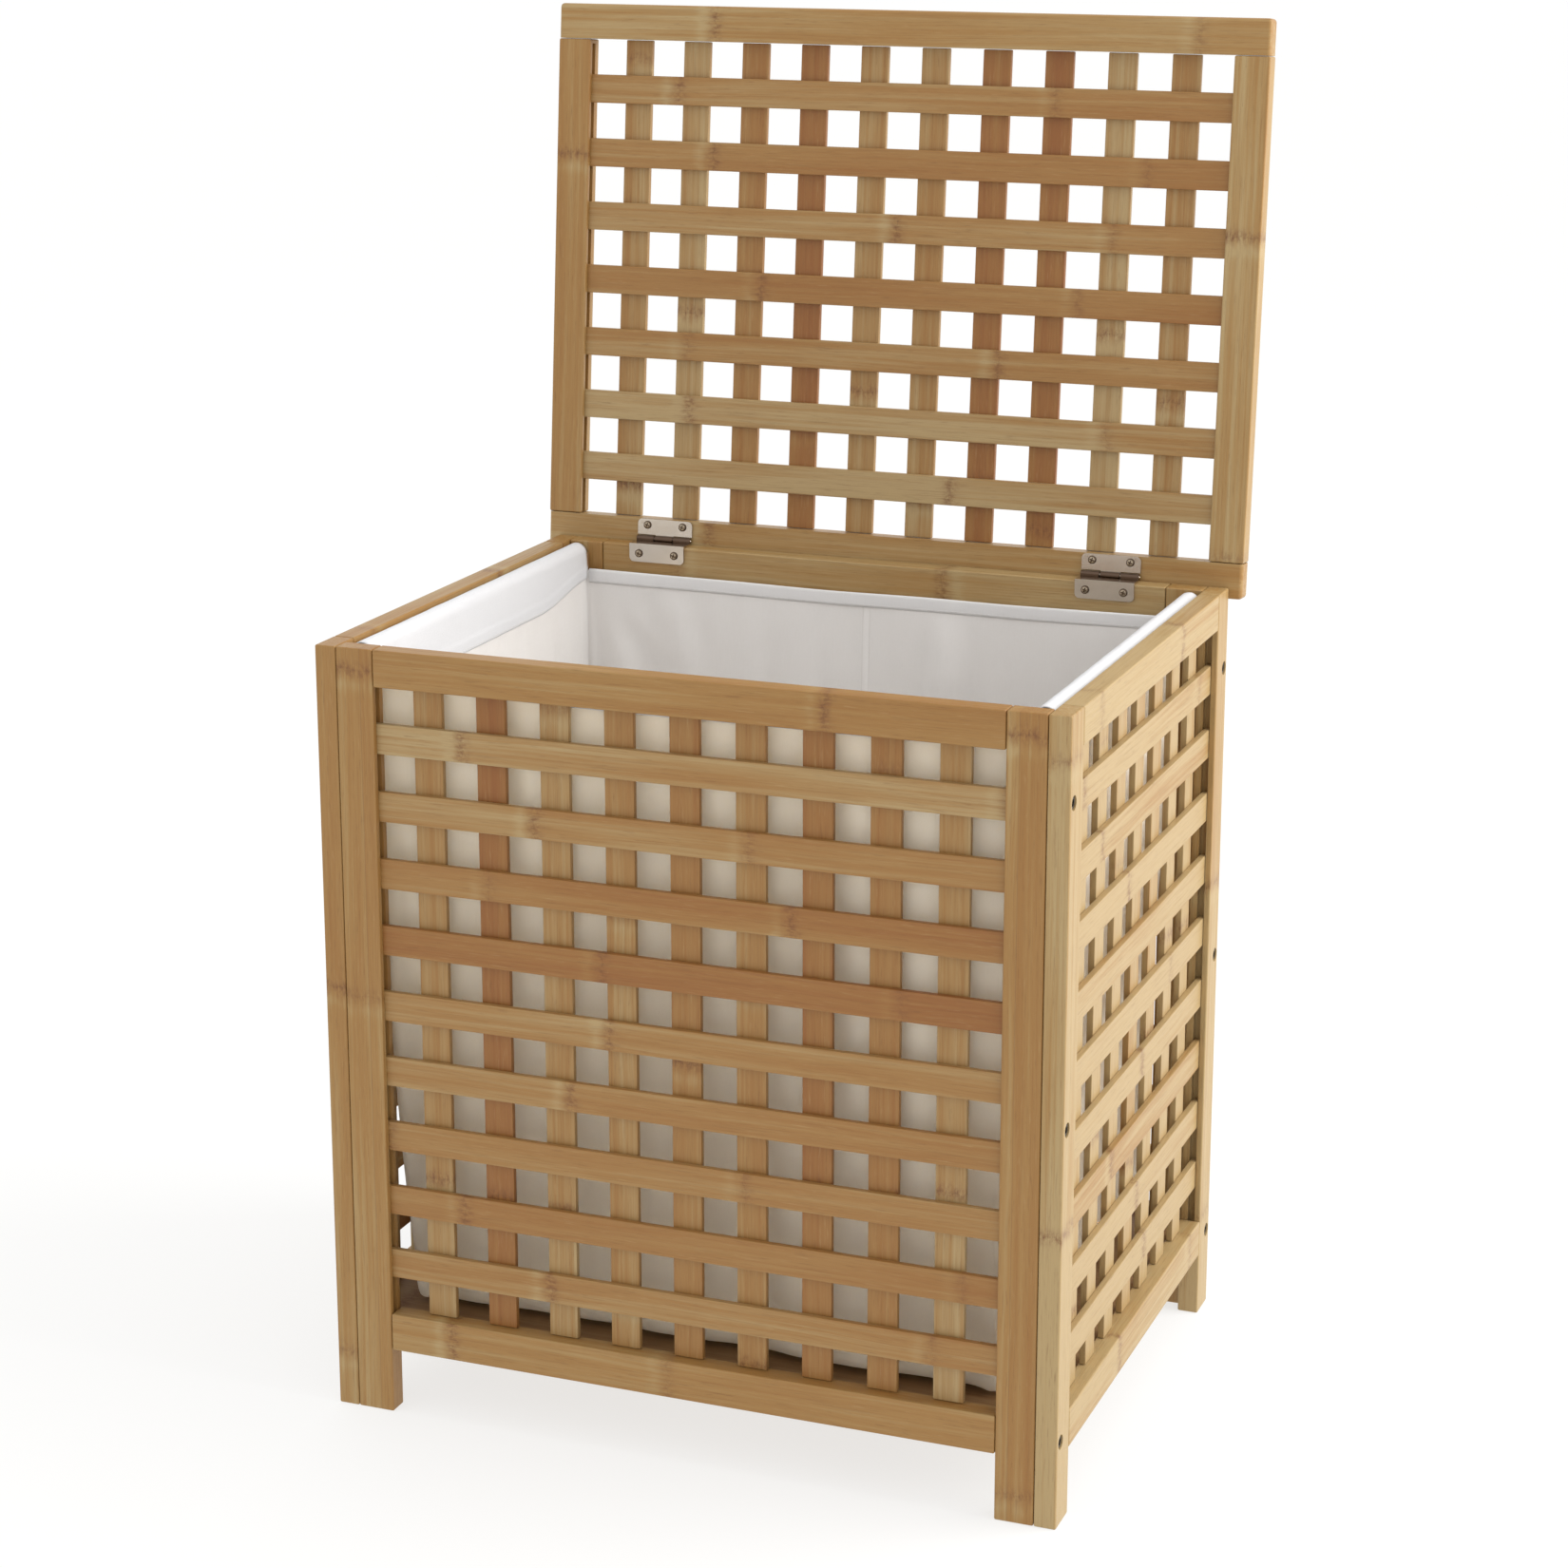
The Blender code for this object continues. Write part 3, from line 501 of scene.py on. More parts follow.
def along_x(shape, x=0.0, y=0.0, z=0.0):
    return moved(shape, Matrix.Translation((x, y, z)) @ Matrix.Rotation(QUARTER, 4, "Y"))


def along_y(shape, x=0.0, y=0.0, z=0.0):
    return moved(shape, Matrix.Translation((x, y, z)) @ Matrix.Rotation(-QUARTER, 4, "X"))


def to_mesh(shape):
    mesh = bpy.data.meshes.new("shape")
    shape.to_mesh(mesh)
    shape.free()
    return mesh


def gathered(shapes):
    whole = bmesh.new()
    for shape in shapes:
        part = to_mesh(shape)
        whole.from_mesh(part)
        bpy.data.meshes.remove(part)
    return whole


def linked(name, data):
    item = bpy.data.objects.new(name, data)
    bpy.context.scene.collection.objects.link(item)
    return item


def combined(first, second, operation):
    """The union or difference of two closed shapes."""
    pair = [linked("operand", to_mesh(shape)) for shape in (first, second)]
    cut = pair[0].modifiers.new("combine", "BOOLEAN")
    cut.operation = operation
    cut.solver = "EXACT"
    cut.object = pair[1]
    result = bmesh.new()
    evaluated = pair[0].evaluated_get(bpy.context.evaluated_depsgraph_get())
    result.from_mesh(evaluated.to_mesh())
    evaluated.to_mesh_clear()
    for item in pair:
        mesh = item.data
        bpy.data.objects.remove(item)
        bpy.data.meshes.remove(mesh)
    return result


def joined(first, second):
    return combined(first, second, "UNION")


def carved(first, second):
    return combined(first, second, "DIFFERENCE")


def place(name, shape, finishes, body, space=Matrix.Identity(4), replaces=(), smooth=30.0):
    """Adds a piece in one finish or more: its points go into the shared frame, and it rides on a body."""
    mesh = shape if isinstance(shape, bpy.types.Mesh) else to_mesh(shape)
    mesh.transform(space)
    mesh.update()
    piece = linked(name, mesh)
    names = (finishes,) if isinstance(finishes, str) else finishes
    for finish in names:
        mesh.materials.append(FINISHES[finish][0])
    mesh.shade_smooth()
    mesh.set_sharp_from_angle(angle=math.radians(smooth))
    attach(piece, body)
    if replaces:
        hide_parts(*replaces)
    return piece


def even_shading(piece, keep_sharp):
    piece.modifiers.new("even_shading", "WEIGHTED_NORMAL").keep_sharp = keep_sharp


# ---------------------------------------------------------------- wooden pieces


def lay_grain(shape, along, centre):
    """Stores each point's place along, across and through the grain, from the piece's centre."""
    others = [axis for axis in (0, 2) if axis != along]
    layer = shape.verts.layers.float_vector.new("grain")
    for vert in shape.verts:
        apart = vert.co - centre
        vert[layer] = Vector((apart[along], apart[others[0]], apart[1]))


def wooden(name, shape, along, space, body, finish, replaces, tone, nodes=None, seam=None):
    """A bamboo piece with its grain, its tone and the places of its two nodes."""
    draw = random.Random(name)
    low = Vector([min(v.co[k] for v in shape.verts) for k in range(3)])
    high = Vector([max(v.co[k] for v in shape.verts) for k in range(3)])
    lay_grain(shape, along, (low + high) / 2)
    piece = place(name, shape, finish, body, space, replaces, 40.0)
    even_shading(piece, True)
    length = high[along] - low[along]
    first = draw.uniform(-0.5, 0.1) * length
    drawn = (first, first + draw.uniform(0.20, 0.32))
    for key, value in zip(("node_a", "node_b"), nodes or drawn):
        piece[key] = float(value)
    piece["seed"] = draw.uniform(0.0, 9.0)
    piece["tone"] = float(tone) + draw.uniform(-0.06, 0.06)
    piece["seam"] = 1.0 if seam is None else float(seam)
    return piece


def stile_shape(width, thick, low, high, recess, groove_start):
    """A stile with eased edges, its outer edge at X = 0, and a groove along its inner edge."""
    whole = rounded(box_shape((0, 0, low), (width, thick, high)), ARRIS)
    groove_low = (width - GROOVE_DEPTH, recess - GAP, groove_start)
    groove_high = (width + OVERCUT, recess + SLAT_THICK + GAP, high - SHOULDER + GAP)
    return carved(whole, box_shape(groove_low, groove_high))


def bolt_hole(z):
    """The counterbored hole for one bolt through a side stile."""
    bore = (0.0028, 24, PANEL_THICK + OVERCUT)
    sink = (BOLT_HEAD_RADIUS + GAP, 32, BOLT_SINK + BOLT_HEAD_HEIGHT)
    cutters = [prism(circle(radius, sides), -OVERCUT, deep) for radius, sides, deep in (bore, sink)]
    return [along_y(cutter, PANEL_THICK / 2, 0, z) for cutter in cutters]


def at_end(stile, side, reach):
    """Moves a stile to one end of its panel, mirrored at the far end."""
    if side < 0:
        mirrored(stile)
    return moved(stile, Matrix.Translation((-side * reach, 0, 0)))


def rail_shape(length, low, high, recess):
    """A rail with a tongue at each end."""
    body = rounded(box_shape((-length / 2 + GAP, 0, low), (length / 2 - GAP, PANEL_THICK, high)), ARRIS)
    tongue_low = (-length / 2 - TONGUE, recess, low + ARRIS)
    tongue_high = (length / 2 + TONGUE, recess + SLAT_THICK, high - SHOULDER)
    return joined(body, box_shape(tongue_low, tongue_high))


def slat(low, high):
    return rounded(box_shape(low, high), SLAT_ARRIS, 2)


def lay_slats(panel, grid, space, body, tones):
    """Bars with tongued ends, and the uprights behind them."""
    width, height, bottom, recess, bars, uprights = grid
    node = f"{panel}_lattice"
    half = SLAT_WIDTH / 2
    bar_pitch = (height + SLAT_WIDTH) / (bars + 1)
    upright_pitch = (width + SLAT_WIDTH) / (uprights + 1)
    back = recess + SLAT_THICK
    bar_tones, upright_tones, bar_nodes = tones
    for k in range(bars):
        z = bottom - half + bar_pitch * (k + 1)
        low, high = (-width / 2 - TONGUE, recess, z - half), (width / 2 + TONGUE, back, z + half)
        name = f"{panel}_bar_{k + 1}"
        wooden(name, slat(low, high), 0, space, body, "slat", (node,), bar_tones[k], bar_nodes.get(k))
    for k in range(uprights):
        x = -width / 2 - half + upright_pitch * (k + 1)
        low = (x - half, back + SLAT_CLEARANCE, bottom + GAP)
        high = (x + half, back + SLAT_THICK, bottom + height - GAP)
        name = f"{panel}_upright_{k + 1}"
        wooden(name, slat(low, high), 2, space, body, "slat", (node,), upright_tones[k])


def drawn_tones(name, count, choices):
    draw = random.Random(name + "_tones")
    return [draw.choice(choices) for _ in range(count)]


def build_panel(panel, span, ends, uprights, drilled, tones):
    """Two stiles, two rails and the slats of one body panel."""
    space = PANELS[panel]
    opening = span - 2 * STILE_WIDTH
    for side, end in zip((1, -1), ends):
        node = f"{panel}_{end}_stile"
        stile = stile_shape(STILE_WIDTH, PANEL_THICK, 0, TOP_Z, SLAT_RECESS, LEG_HEIGHT)
        if drilled:
            for z in BOLT_HEIGHTS.values():
                for cutter in bolt_hole(z):
                    stile = carved(stile, cutter)
        stile = at_end(stile, side, span / 2)
        tone, nodes, seam = STILE_LOOKS.get(node, (HONEY, None, None))
        wooden(node + "_bamboo", stile, 2, space, "hamper", "frame", (node,), tone, nodes, seam)
    rail_top = LEG_HEIGHT + BOTTOM_RAIL
    lintel = TOP_Z - RAIL_WIDTH
    for level, low, high in (("top", lintel, TOP_Z), ("bottom", LEG_HEIGHT, rail_top)):
        node = f"{panel}_{level}_rail"
        rail = rail_shape(opening, low, high, SLAT_RECESS)
        if level == "bottom":
            rail = carved(rail, board_groove(opening))
        tone, nodes = RAIL_LOOKS.get(node, (HONEY, None))
        wooden(node + "_bamboo", rail, 0, space, "hamper", "frame", (node,), tone, nodes)
    grid = (opening, lintel - rail_top, rail_top, SLAT_RECESS, BODY_BARS, uprights)
    lay_slats(panel, grid, space, "hamper", tones)


def board_groove(length):
    low = (-length / 2 - 0.01, PANEL_THICK - BOARD_TONGUE - GAP, BOARD_TOP - BOARD_THICK - GAP)
    return box_shape(low, (length / 2 + 0.01, PANEL_THICK + OVERCUT, BOARD_TOP + GAP))


# The strips as seen from the front: tone, and places of the nodes from the middle where they stand out
STILE_LOOKS = {
    "front_left_stile": (HONEY + 0.08, (0.222, 0.026), 0.0035),
    "front_right_stile": (HONEY + 0.10, (0.222, -0.218), -0.004),
    # The right panel's stiles are paler: painted light and sheen from the lamp on that side
    "right_front_stile": (STRAW, (-0.06, 0.21), None),
    "right_rear_stile": (STRAW, (0.05, -0.17), None),
    "left_front_stile": (HONEY + 0.10, (0.03, -0.2), None),
}
RAIL_LOOKS = {
    "front_top_rail": (HONEY + 0.05, (0.086, -0.30)),
    "front_bottom_rail": (HONEY, (-0.148, -0.010)),
    # The back top rail is lighter: painted bounce light from the liner on its inner face
    "back_top_rail": (STRAW + 0.1, (-0.045, 0.135)),
    # The right panel's rails are paler: painted light and sheen from the lamp on that side
    "right_top_rail": (PALE + 0.05, (0.06, -0.11)),
    "right_bottom_rail": (STRAW, (-0.04, 0.12)),
    "left_top_rail": (HONEY, (-0.05, 0.12)),
}
FRONT_TONES = (
    (HONEY, AMBER - 0.1, HONEY, HONEY + 0.05, AMBER - 0.1, RUSSET - 0.05, AMBER, HONEY + 0.05, HONEY - 0.08),
    (HONEY + 0.05, RUSSET, HONEY, HONEY + 0.05, AMBER, HONEY + 0.05, RUSSET - 0.1, AMBER, HONEY),
    {8: (-0.135, 0.19), 7: (-0.09, 0.04), 6: (0.065, -0.12), 5: (-0.05, 0.13), 0: (-0.085, 0.15)},
)
LID_TONES = (
    (HONEY - 0.1, HONEY - 0.1, HONEY + 0.05, AMBER, HONEY, AMBER - 0.05, HONEY + 0.15),
    (HONEY, HONEY - 0.1, AMBER, RUSSET, HONEY, HONEY - 0.05, RUSSET - 0.1, RUSSET, HONEY - 0.15, HONEY),
    {6: (-0.150, 0.10), 5: (-0.125, 0.16), 4: (0.0, 0.14), 3: (-0.09, 0.12), 2: (0.07, -0.14)},
)
# Pale tones for the right panel: painted light and sheen from the lamp on that side
PAINTED_SIDE_LIGHT_TONES = (PALE, PALE, STRAW)
MIXED_TONES = (STRAW, HONEY, HONEY, HONEY, AMBER, AMBER, RUSSET)


def build_body():
    inner_span = 2 * (INNER_X - GAP)
    build_panel("front", inner_span, ("left", "right"), FRONT_UPRIGHTS, False, FRONT_TONES)
    others = (
        ("back", inner_span, ("right", "left"), FRONT_UPRIGHTS, False),
        ("right", DEPTH, ("front", "rear"), SIDE_UPRIGHTS, True),
        ("left", DEPTH, ("rear", "front"), SIDE_UPRIGHTS, True),
    )
    for panel, span, ends, uprights, drilled in others:
        # The right panel takes the pale tones: painted light and sheen from the lamp on that side
        choices = PAINTED_SIDE_LIGHT_TONES if panel == "right" else MIXED_TONES
        bar_tones = drawn_tones(panel + "_bars", BODY_BARS, choices)
        upright_tones = drawn_tones(panel + "_uprights", uprights, choices)
        build_panel(panel, span, ends, uprights, drilled, (bar_tones, upright_tones, {}))


def build_lid():
    """The lid's rails, stiles and slats."""
    inner_low, inner_high = LID_LOW + RAIL_WIDTH, LID_HIGH - RAIL_WIDTH
    rails = (
        ("lid_rear_rail", LID_LOW, inner_low, inner_low, (-0.12, 0.155)),
        ("lid_front_rail", inner_high, LID_HIGH, inner_high, (-0.125, 0.19)),
    )
    for node, low, high, inner, nodes in rails:
        rail = box_shape((-LID_HALF, 0, low), (LID_HALF, LID_THICK, high))
        rounded(rail, LID_ROUNDING, 4, lambda e: any(abs(v.co.z - inner) > 1e-5 for v in e.verts))
        wooden(node + "_bamboo", rail, 0, LID_SPACE, "lid", "frame", (node,), HONEY - 0.04, nodes)
    stiles = ((1, "left", HONEY, (0.08, -0.2)), (-1, "right", STRAW + 0.04, (0.045, -0.15)))
    for side, hand, tone, nodes in stiles:
        node = f"lid_{hand}_stile"
        stile = stile_shape(RAIL_WIDTH, LID_THICK, inner_low + GAP, inner_high - GAP, LID_RECESS, inner_low)
        stile = at_end(stile, side, LID_HALF)
        wooden(node + "_bamboo", stile, 2, LID_SPACE, "lid", "frame", (node,), tone, nodes)
    opening, height = 2 * (LID_HALF - RAIL_WIDTH), inner_high - inner_low
    grid = (opening, height, inner_low, LID_RECESS, LID_BARS, LID_UPRIGHTS)
    lay_slats("lid", grid, LID_SPACE, "lid", LID_TONES)


def build_base_board():
    """The board, tongued into the four bottom rails."""
    reach_x, reach_y = INNER_X - GAP, DEPTH / 2 - PANEL_THICK - GAP
    rail_x = INNER_X - STILE_WIDTH - 2 * GAP
    rail_y = DEPTH / 2 - STILE_WIDTH - 2 * GAP
    corner = [(reach_x + BOARD_TONGUE, rail_y), (reach_x, rail_y), (reach_x, reach_y)]
    corner += [(rail_x, reach_y), (rail_x, reach_y + BOARD_TONGUE)]
    outline = corner + [(-x, y) for x, y in reversed(corner)]
    outline += [(-x, -y) for x, y in corner] + [(x, -y) for x, y in reversed(corner)]
    board = rounded(prism(outline, BOARD_TOP - BOARD_THICK, BOARD_TOP), 0.0004, 2)
    moved(board, Matrix.Rotation(QUARTER, 4, "X"))
    flat = Matrix.Translation((0, MIDDLE_Y, 0)) @ Matrix.Rotation(-QUARTER, 4, "X")
    wooden("base_board_bamboo", board, 0, flat, "hamper", "board", ("base_board",), HONEY)


# ---------------------------------------------------------------- hinges and fasteners


def leaf_outline(height):
    """A leaf's outline, from its straight edge at Y = 0 to its rounded corners."""
    half = HINGE_WIDTH / 2
    outline = [(-half, 0), (half, 0)]
    for centre_x, start in ((half - LEAF_CORNER, 0), (-half + LEAF_CORNER, 90)):
        for step in range(9):
            angle = math.radians(start + 11.25 * step)
            x = centre_x + LEAF_CORNER * math.cos(angle)
            outline.append((x, height - LEAF_CORNER + LEAF_CORNER * math.sin(angle)))
    return outline


def leaf_plate(height):
    """A leaf standing on Z = 0, its back at Y = 0 and its face towards -Y."""
    return moved(prism(leaf_outline(height), 0, LEAF_THICK), Matrix.Rotation(QUARTER, 4, "X"))


def screw_seats(face, height):
    """Countersunk holes through a leaf whose face is at a given Y."""
    cone = [(0, -0.0002), (0.0030, -0.0002), (0.0016, 0.0009), (0.0016, 0.003), (0, 0.003)]
    return [along_y(turned(cone), side * SCREW_SPACING / 2, face, height) for side in (-1, 1)]


def barrel(start, end):
    """One knuckle along the axis, its rims eased."""
    ease = 0.0003
    low, high = start + GAP, end - GAP
    profile = [(0, low), (KNUCKLE_RADIUS - ease, low), (KNUCKLE_RADIUS, low + ease)]
    profile += [(KNUCKLE_RADIUS, high - ease), (KNUCKLE_RADIUS - ease, high), (0, high)]
    return along_x(turned(profile, 28))


def body_leaf():
    """The leaf that wraps over the back rail, with the axis at the origin."""
    half, cut = HINGE_WIDTH / 2, MIDDLE_KNUCKLE / 2
    face = -(PANEL_THICK - (BACK_Y - AXIS.y)) - GAP
    under = -KNUCKLE_RADIUS
    over = under + LEAF_THICK
    drop = LEAF_DROP + GAP + LEAF_THICK
    plate = moved(leaf_plate(drop), Matrix.Translation((0, face, over)) @ Matrix.Rotation(math.pi, 4, "Y"))
    strip_low = (-half + TRIM, face - LEAF_THICK + TRIM, under)
    strip = box_shape(strip_low, (half - TRIM, -TRIM, over - TRIM))
    leaf = joined(plate, strip)
    for start, end in ((-half, -cut), (cut, half)):
        leaf = joined(leaf, barrel(start, end))
    clear = KNUCKLE_RADIUS + KNUCKLE_CLEARANCE
    leaf = carved(leaf, box_shape((-cut, -clear, -0.01), (cut, 0.01, 0.01)))
    for seat in screw_seats(face - LEAF_THICK, over - drop + LEAF_DROP - SCREW_DROP):
        leaf = carved(leaf, seat)
    return leaf


def lid_leaf():
    """The leaf on the lid's underside, with the axis at the origin."""
    half, cut = HINGE_WIDTH / 2, MIDDLE_KNUCKLE / 2
    leaf = moved(leaf_plate(LEAF_RISE), Matrix.Translation((0, LID_STANDOFF - GAP, 0)))
    clear = KNUCKLE_RADIUS + KNUCKLE_CLEARANCE
    for low, high in ((-half - OVERCUT, -cut + TRIM), (cut - TRIM, half + OVERCUT)):
        leaf = carved(leaf, box_shape((low, -0.01, -0.01), (high, 0.01, clear)))
    leaf = joined(leaf, barrel(-cut, cut))
    for seat in screw_seats(LID_STANDOFF - GAP - LEAF_THICK, SCREW_RISE):
        leaf = carved(leaf, seat)
    return leaf


def screw():
    """An oval-head cross screw: its head stands proud of Y = 0 towards -Y."""
    crown = -SCREW_HEAD_HEIGHT
    profile = [(0, crown), (0.0011, crown + 0.00007), (0.0019, crown + 0.0003)]
    profile += [(SCREW_HEAD_RADIUS, crown + 0.00085), (SCREW_HEAD_RADIUS, crown + 0.00105)]
    profile += [(0.0014, 0.0001), (0.0012, 0.0006), (0.0012, 0.0065), (0, 0.0085)]
    arm, half = 0.0015, 0.00036
    outline = [(arm, half), (half, half), (half, arm), (-half, arm), (-half, half), (-arm, half)]
    outline += [(-x, -y) for x, y in outline]
    cross = moved(prism(outline, crown - OVERCUT, crown + 0.0009), Matrix.Rotation(math.radians(20), 4, "Z"))
    return along_y(carved(turned(profile), cross))


def bolt():
    """A socket-head bolt, its head at Y = 0 and its shank along +Y."""
    ease, head, tip = 0.0004, BOLT_HEAD_HEIGHT, BOLT_REACH - BOLT_SINK
    profile = [(0, 0), (BOLT_HEAD_RADIUS - ease, 0), (BOLT_HEAD_RADIUS, ease), (BOLT_HEAD_RADIUS, head)]
    profile += [(0.0025, head), (0.0025, tip - 0.0006), (0.0019, tip), (0, tip)]
    socket = prism(circle(0.0023, 6), -OVERCUT, 0.0015)
    return along_y(carved(turned(profile), socket))


def build_hinges():
    """Two hinges, each with a body leaf, a lid leaf, a pin and four screws."""
    for side, hand in HANDS:
        shift = Matrix.Translation((side * HINGE_OFFSET, 0, 0))
        at_axis = Matrix.Translation(AXIS) @ shift
        at_lid = LID_PIVOT @ shift
        leaves = (("body", body_leaf(), "hamper", at_axis), ("lid", lid_leaf(), "lid", at_lid))
        for part, shape, body, space in leaves:
            node = f"{hand}_hinge_{part}_leaf"
            # The knuckles and the flat strip take the painted reflection of the wood
            shape = paint_shade_and_reflection(shape, takes_painted_reflection)
            soften(place(node + "_nickel", shape, ("hinge", "painted_reflection"), body, space, (node,)), 0.00018)
        half = HINGE_WIDTH / 2 + 0.0001
        pin = [(0, -half), (PIN_RADIUS * 0.7, -half), (PIN_RADIUS, -half + 0.0003)]
        pin += [(PIN_RADIUS, half - 0.0003), (PIN_RADIUS * 0.7, half), (0, half)]
        node = f"{hand}_hinge_pin"
        place(node + "_nickel", along_x(turned(pin, 24)), "hinge", "hamper", at_axis, (node,))
        rear = -(PANEL_THICK - (BACK_Y - AXIS.y)) - 2 * GAP - LEAF_THICK + 0.0003
        rows = (
            ("body", "hamper", at_axis, rear, TOP_Z - SCREW_DROP - AXIS.z),
            ("lid", "lid", at_lid, LID_STANDOFF - 2 * GAP - LEAF_THICK + 0.0003, SCREW_RISE),
        )
        for part, body, space, y, z in rows:
            for step, number in ((1, "outer"), (-1, "inner")):
                node = f"{hand}_hinge_{part}_screw_{number}"
                spot = space @ Matrix.Translation((side * step * SCREW_SPACING / 2, y, z))
                # The rim and the cross recess take painted shade
                shape = paint_shade_and_reflection(screw(), takes_painted_screw_shade)
                place(node + "_nickel", shape, ("screw", "recess"), body, spot, (node,))


def paint_shade_and_reflection(shape, chosen):
    """Gives a metal piece's chosen faces its second, darker finish: a painted reflection of the wood on
    hinges, painted shade on screws.
    """
    for face in shape.faces:
        face.material_index = 1 if all(chosen(vert.co) for vert in face.verts) else 0
    return shape


def takes_painted_reflection(point):
    """True on the knuckles and along a leaf's flat strip, which are darkened with a painted reflection of the
    wood.
    """
    near_pin = math.hypot(point.y, point.z) < KNUCKLE_RADIUS + 0.0002
    on_strip = abs(point.z + KNUCKLE_RADIUS - LEAF_THICK / 2) < LEAF_THICK / 2 + 0.0001 and point.y > -0.0112
    return near_pin or on_strip


def takes_painted_screw_shade(point):
    """True round a screw head's rim and inside its cross recess, which take painted shade."""
    return math.hypot(point.x, point.z) > 0.0018 or -SCREW_HEAD_HEIGHT + 0.0004 < point.y < 0


def soften(piece, width):
    """Rounds a piece's real edges a little."""
    bevel = piece.modifiers.new("soft_edges", "BEVEL")
    bevel.width = width
    bevel.segments = 2
    bevel.limit_method = "ANGLE"
    bevel.angle_limit = math.radians(50)
    bevel.harden_normals = False
    even_shading(piece, False)


def build_bolts():
    """Three bolts down each upright edge of the side panels."""
    reach = DEPTH / 2 - PANEL_THICK / 2
    for panel, ends in (("right", ("front", "rear")), ("left", ("rear", "front"))):
        for x, end in zip((-reach, reach), ends):
            for level, z in BOLT_HEIGHTS.items():
                node = f"{panel}_{end}_{level}_bolt"
                spot = PANELS[panel] @ Matrix.Translation((x, BOLT_SINK, z))
                place(node + "_steel", bolt(), "bolt", "hamper", spot, (node,))


def build_rods():
    """Two hollow rods, and the notched rests under their ends."""
    start, length = ROD_LOW.y, ROD_HIGH.y - ROD_LOW.y
    bore = prism(circle(ROD_BORE, 32), -OVERCUT, length + OVERCUT)
    tube = carved(prism(circle(ROD_RADIUS, 32), 0, length), bore)
    for side, hand in HANDS:
        spot = Matrix.Translation((side * ROD_X, start, ROD_Z)) @ Matrix.Rotation(-QUARTER, 4, "X")
        node = f"{hand}_liner_rod"
        soften(place(node + "_steel", tube.copy(), "rod", "hamper", spot, (node,)), 0.0002)
        for end in ("front", "rear"):
            node = f"{hand}_{end}_rod_rest"
            low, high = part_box(node)
            block = rounded(box_shape(low, high), 0.0004, 2)
            notch = prism(circle(ROD_RADIUS + GAP, 32), -0.01, 0.01)
            block = carved(block, along_y(notch, side * ROD_X, (low.y + high.y) / 2, ROD_Z))
            wooden(node + "_bamboo", block, 2, Matrix.Identity(4), "hamper", "rest", (node,), AMBER)
    tube.free()


# ---------------------------------------------------------------- liner


# Frames of settling, and how far the cloth may move while it settles
SETTLE_FRAMES, SETTLE_REACH = 26, 0.012

# Each hem: its name, the middle of its wall, and the way that faces inward
HEMS = (("front_hem", LINER_LOW.y + CLOTH / 2, 1), ("back_hem", LINER_HIGH.y - CLOTH / 2, -1))

# How far a hem's middle lies from its wall's, how loosely it lies, and its stitches' height over its edge
HEM_SKIN, HEM_LOOSE, HEM_ROW = (CLOTH + HEM_CLOTH) / 2, 0.0002, 0.0016

# A stitch's length, the gap after it, and its thickness
STITCH, STITCH_GAP, STITCH_THICK = 0.0024, 0.0011, 0.00022


def rim_wave(x):
    """How far the front and back rims sag and sway between the rods."""
    share = x / BAG_X
    return -0.0012 * (1 - share * share) + 0.0002 * math.sin(41 * x)


def graded(low, high, seam=None):
    """Places from low to high, closer together near both ends and at a seam."""
    ends = (0.0, 0.0015, 0.0035, 0.0065, 0.0110)
    middle = steps(low + ends[-1], high - ends[-1], BAG_CELL)
    if seam is not None:
        middle = [place for place in middle if abs(place - seam) > 0.006]
        middle = sorted(middle + [seam + shift for shift in (-0.0040, -0.0018, 0.0, 0.0018, 0.0040)])
    return [low + e for e in ends[:-1]] + middle + [high - e for e in reversed(ends[:-1])]


def bag_surface():
    """An open-topped bag with rounded corners, as a grid of small cells."""
    low = Vector((-BAG_X, LINER_LOW.y + CLOTH / 2, LINER_LOW.z + CLOTH / 2))
    high = Vector((BAG_X, LINER_HIGH.y - CLOTH / 2, RIM_Z))
    places = [graded(a, b, seam) for a, b, seam in zip(low, high, (BACK_SEAM_X, None, None))]
    nx, ny, nz = [len(row) - 1 for row in places]
    shape = bmesh.new()
    layer = shape.verts.layers.float_vector.new("cloth")
    found = {}

    def vert(*index):
        if index not in found:
            x, y, z = [row[k] for row, k in zip(places, index)]
            made = shape.verts.new(round_corner(Vector((x, y, z)), low, high))
            on_side = index[0] in (0, nx)
            made[layer] = Vector((y if on_side else x, z + y if index[2] == 0 else z, x))
            found[index] = made
        return found[index]

    for i in range(nx):
        for k in range(nz):
            shape.faces.new([vert(i, 0, k), vert(i + 1, 0, k), vert(i + 1, 0, k + 1), vert(i, 0, k + 1)])
            shape.faces.new([vert(i + 1, ny, k), vert(i, ny, k), vert(i, ny, k + 1), vert(i + 1, ny, k + 1)])
        for j in range(ny):
            shape.faces.new([vert(i, j, 0), vert(i, j + 1, 0), vert(i + 1, j + 1, 0), vert(i + 1, j, 0)])
    for j in range(ny):
        for k in range(nz):
            shape.faces.new([vert(0, j + 1, k), vert(0, j, k), vert(0, j, k + 1), vert(0, j + 1, k + 1)])
            shape.faces.new([vert(nx, j, k), vert(nx, j + 1, k), vert(nx, j + 1, k + 1), vert(nx, j, k + 1)])
    bmesh.ops.recalc_face_normals(shape, faces=shape.faces)
    return shape


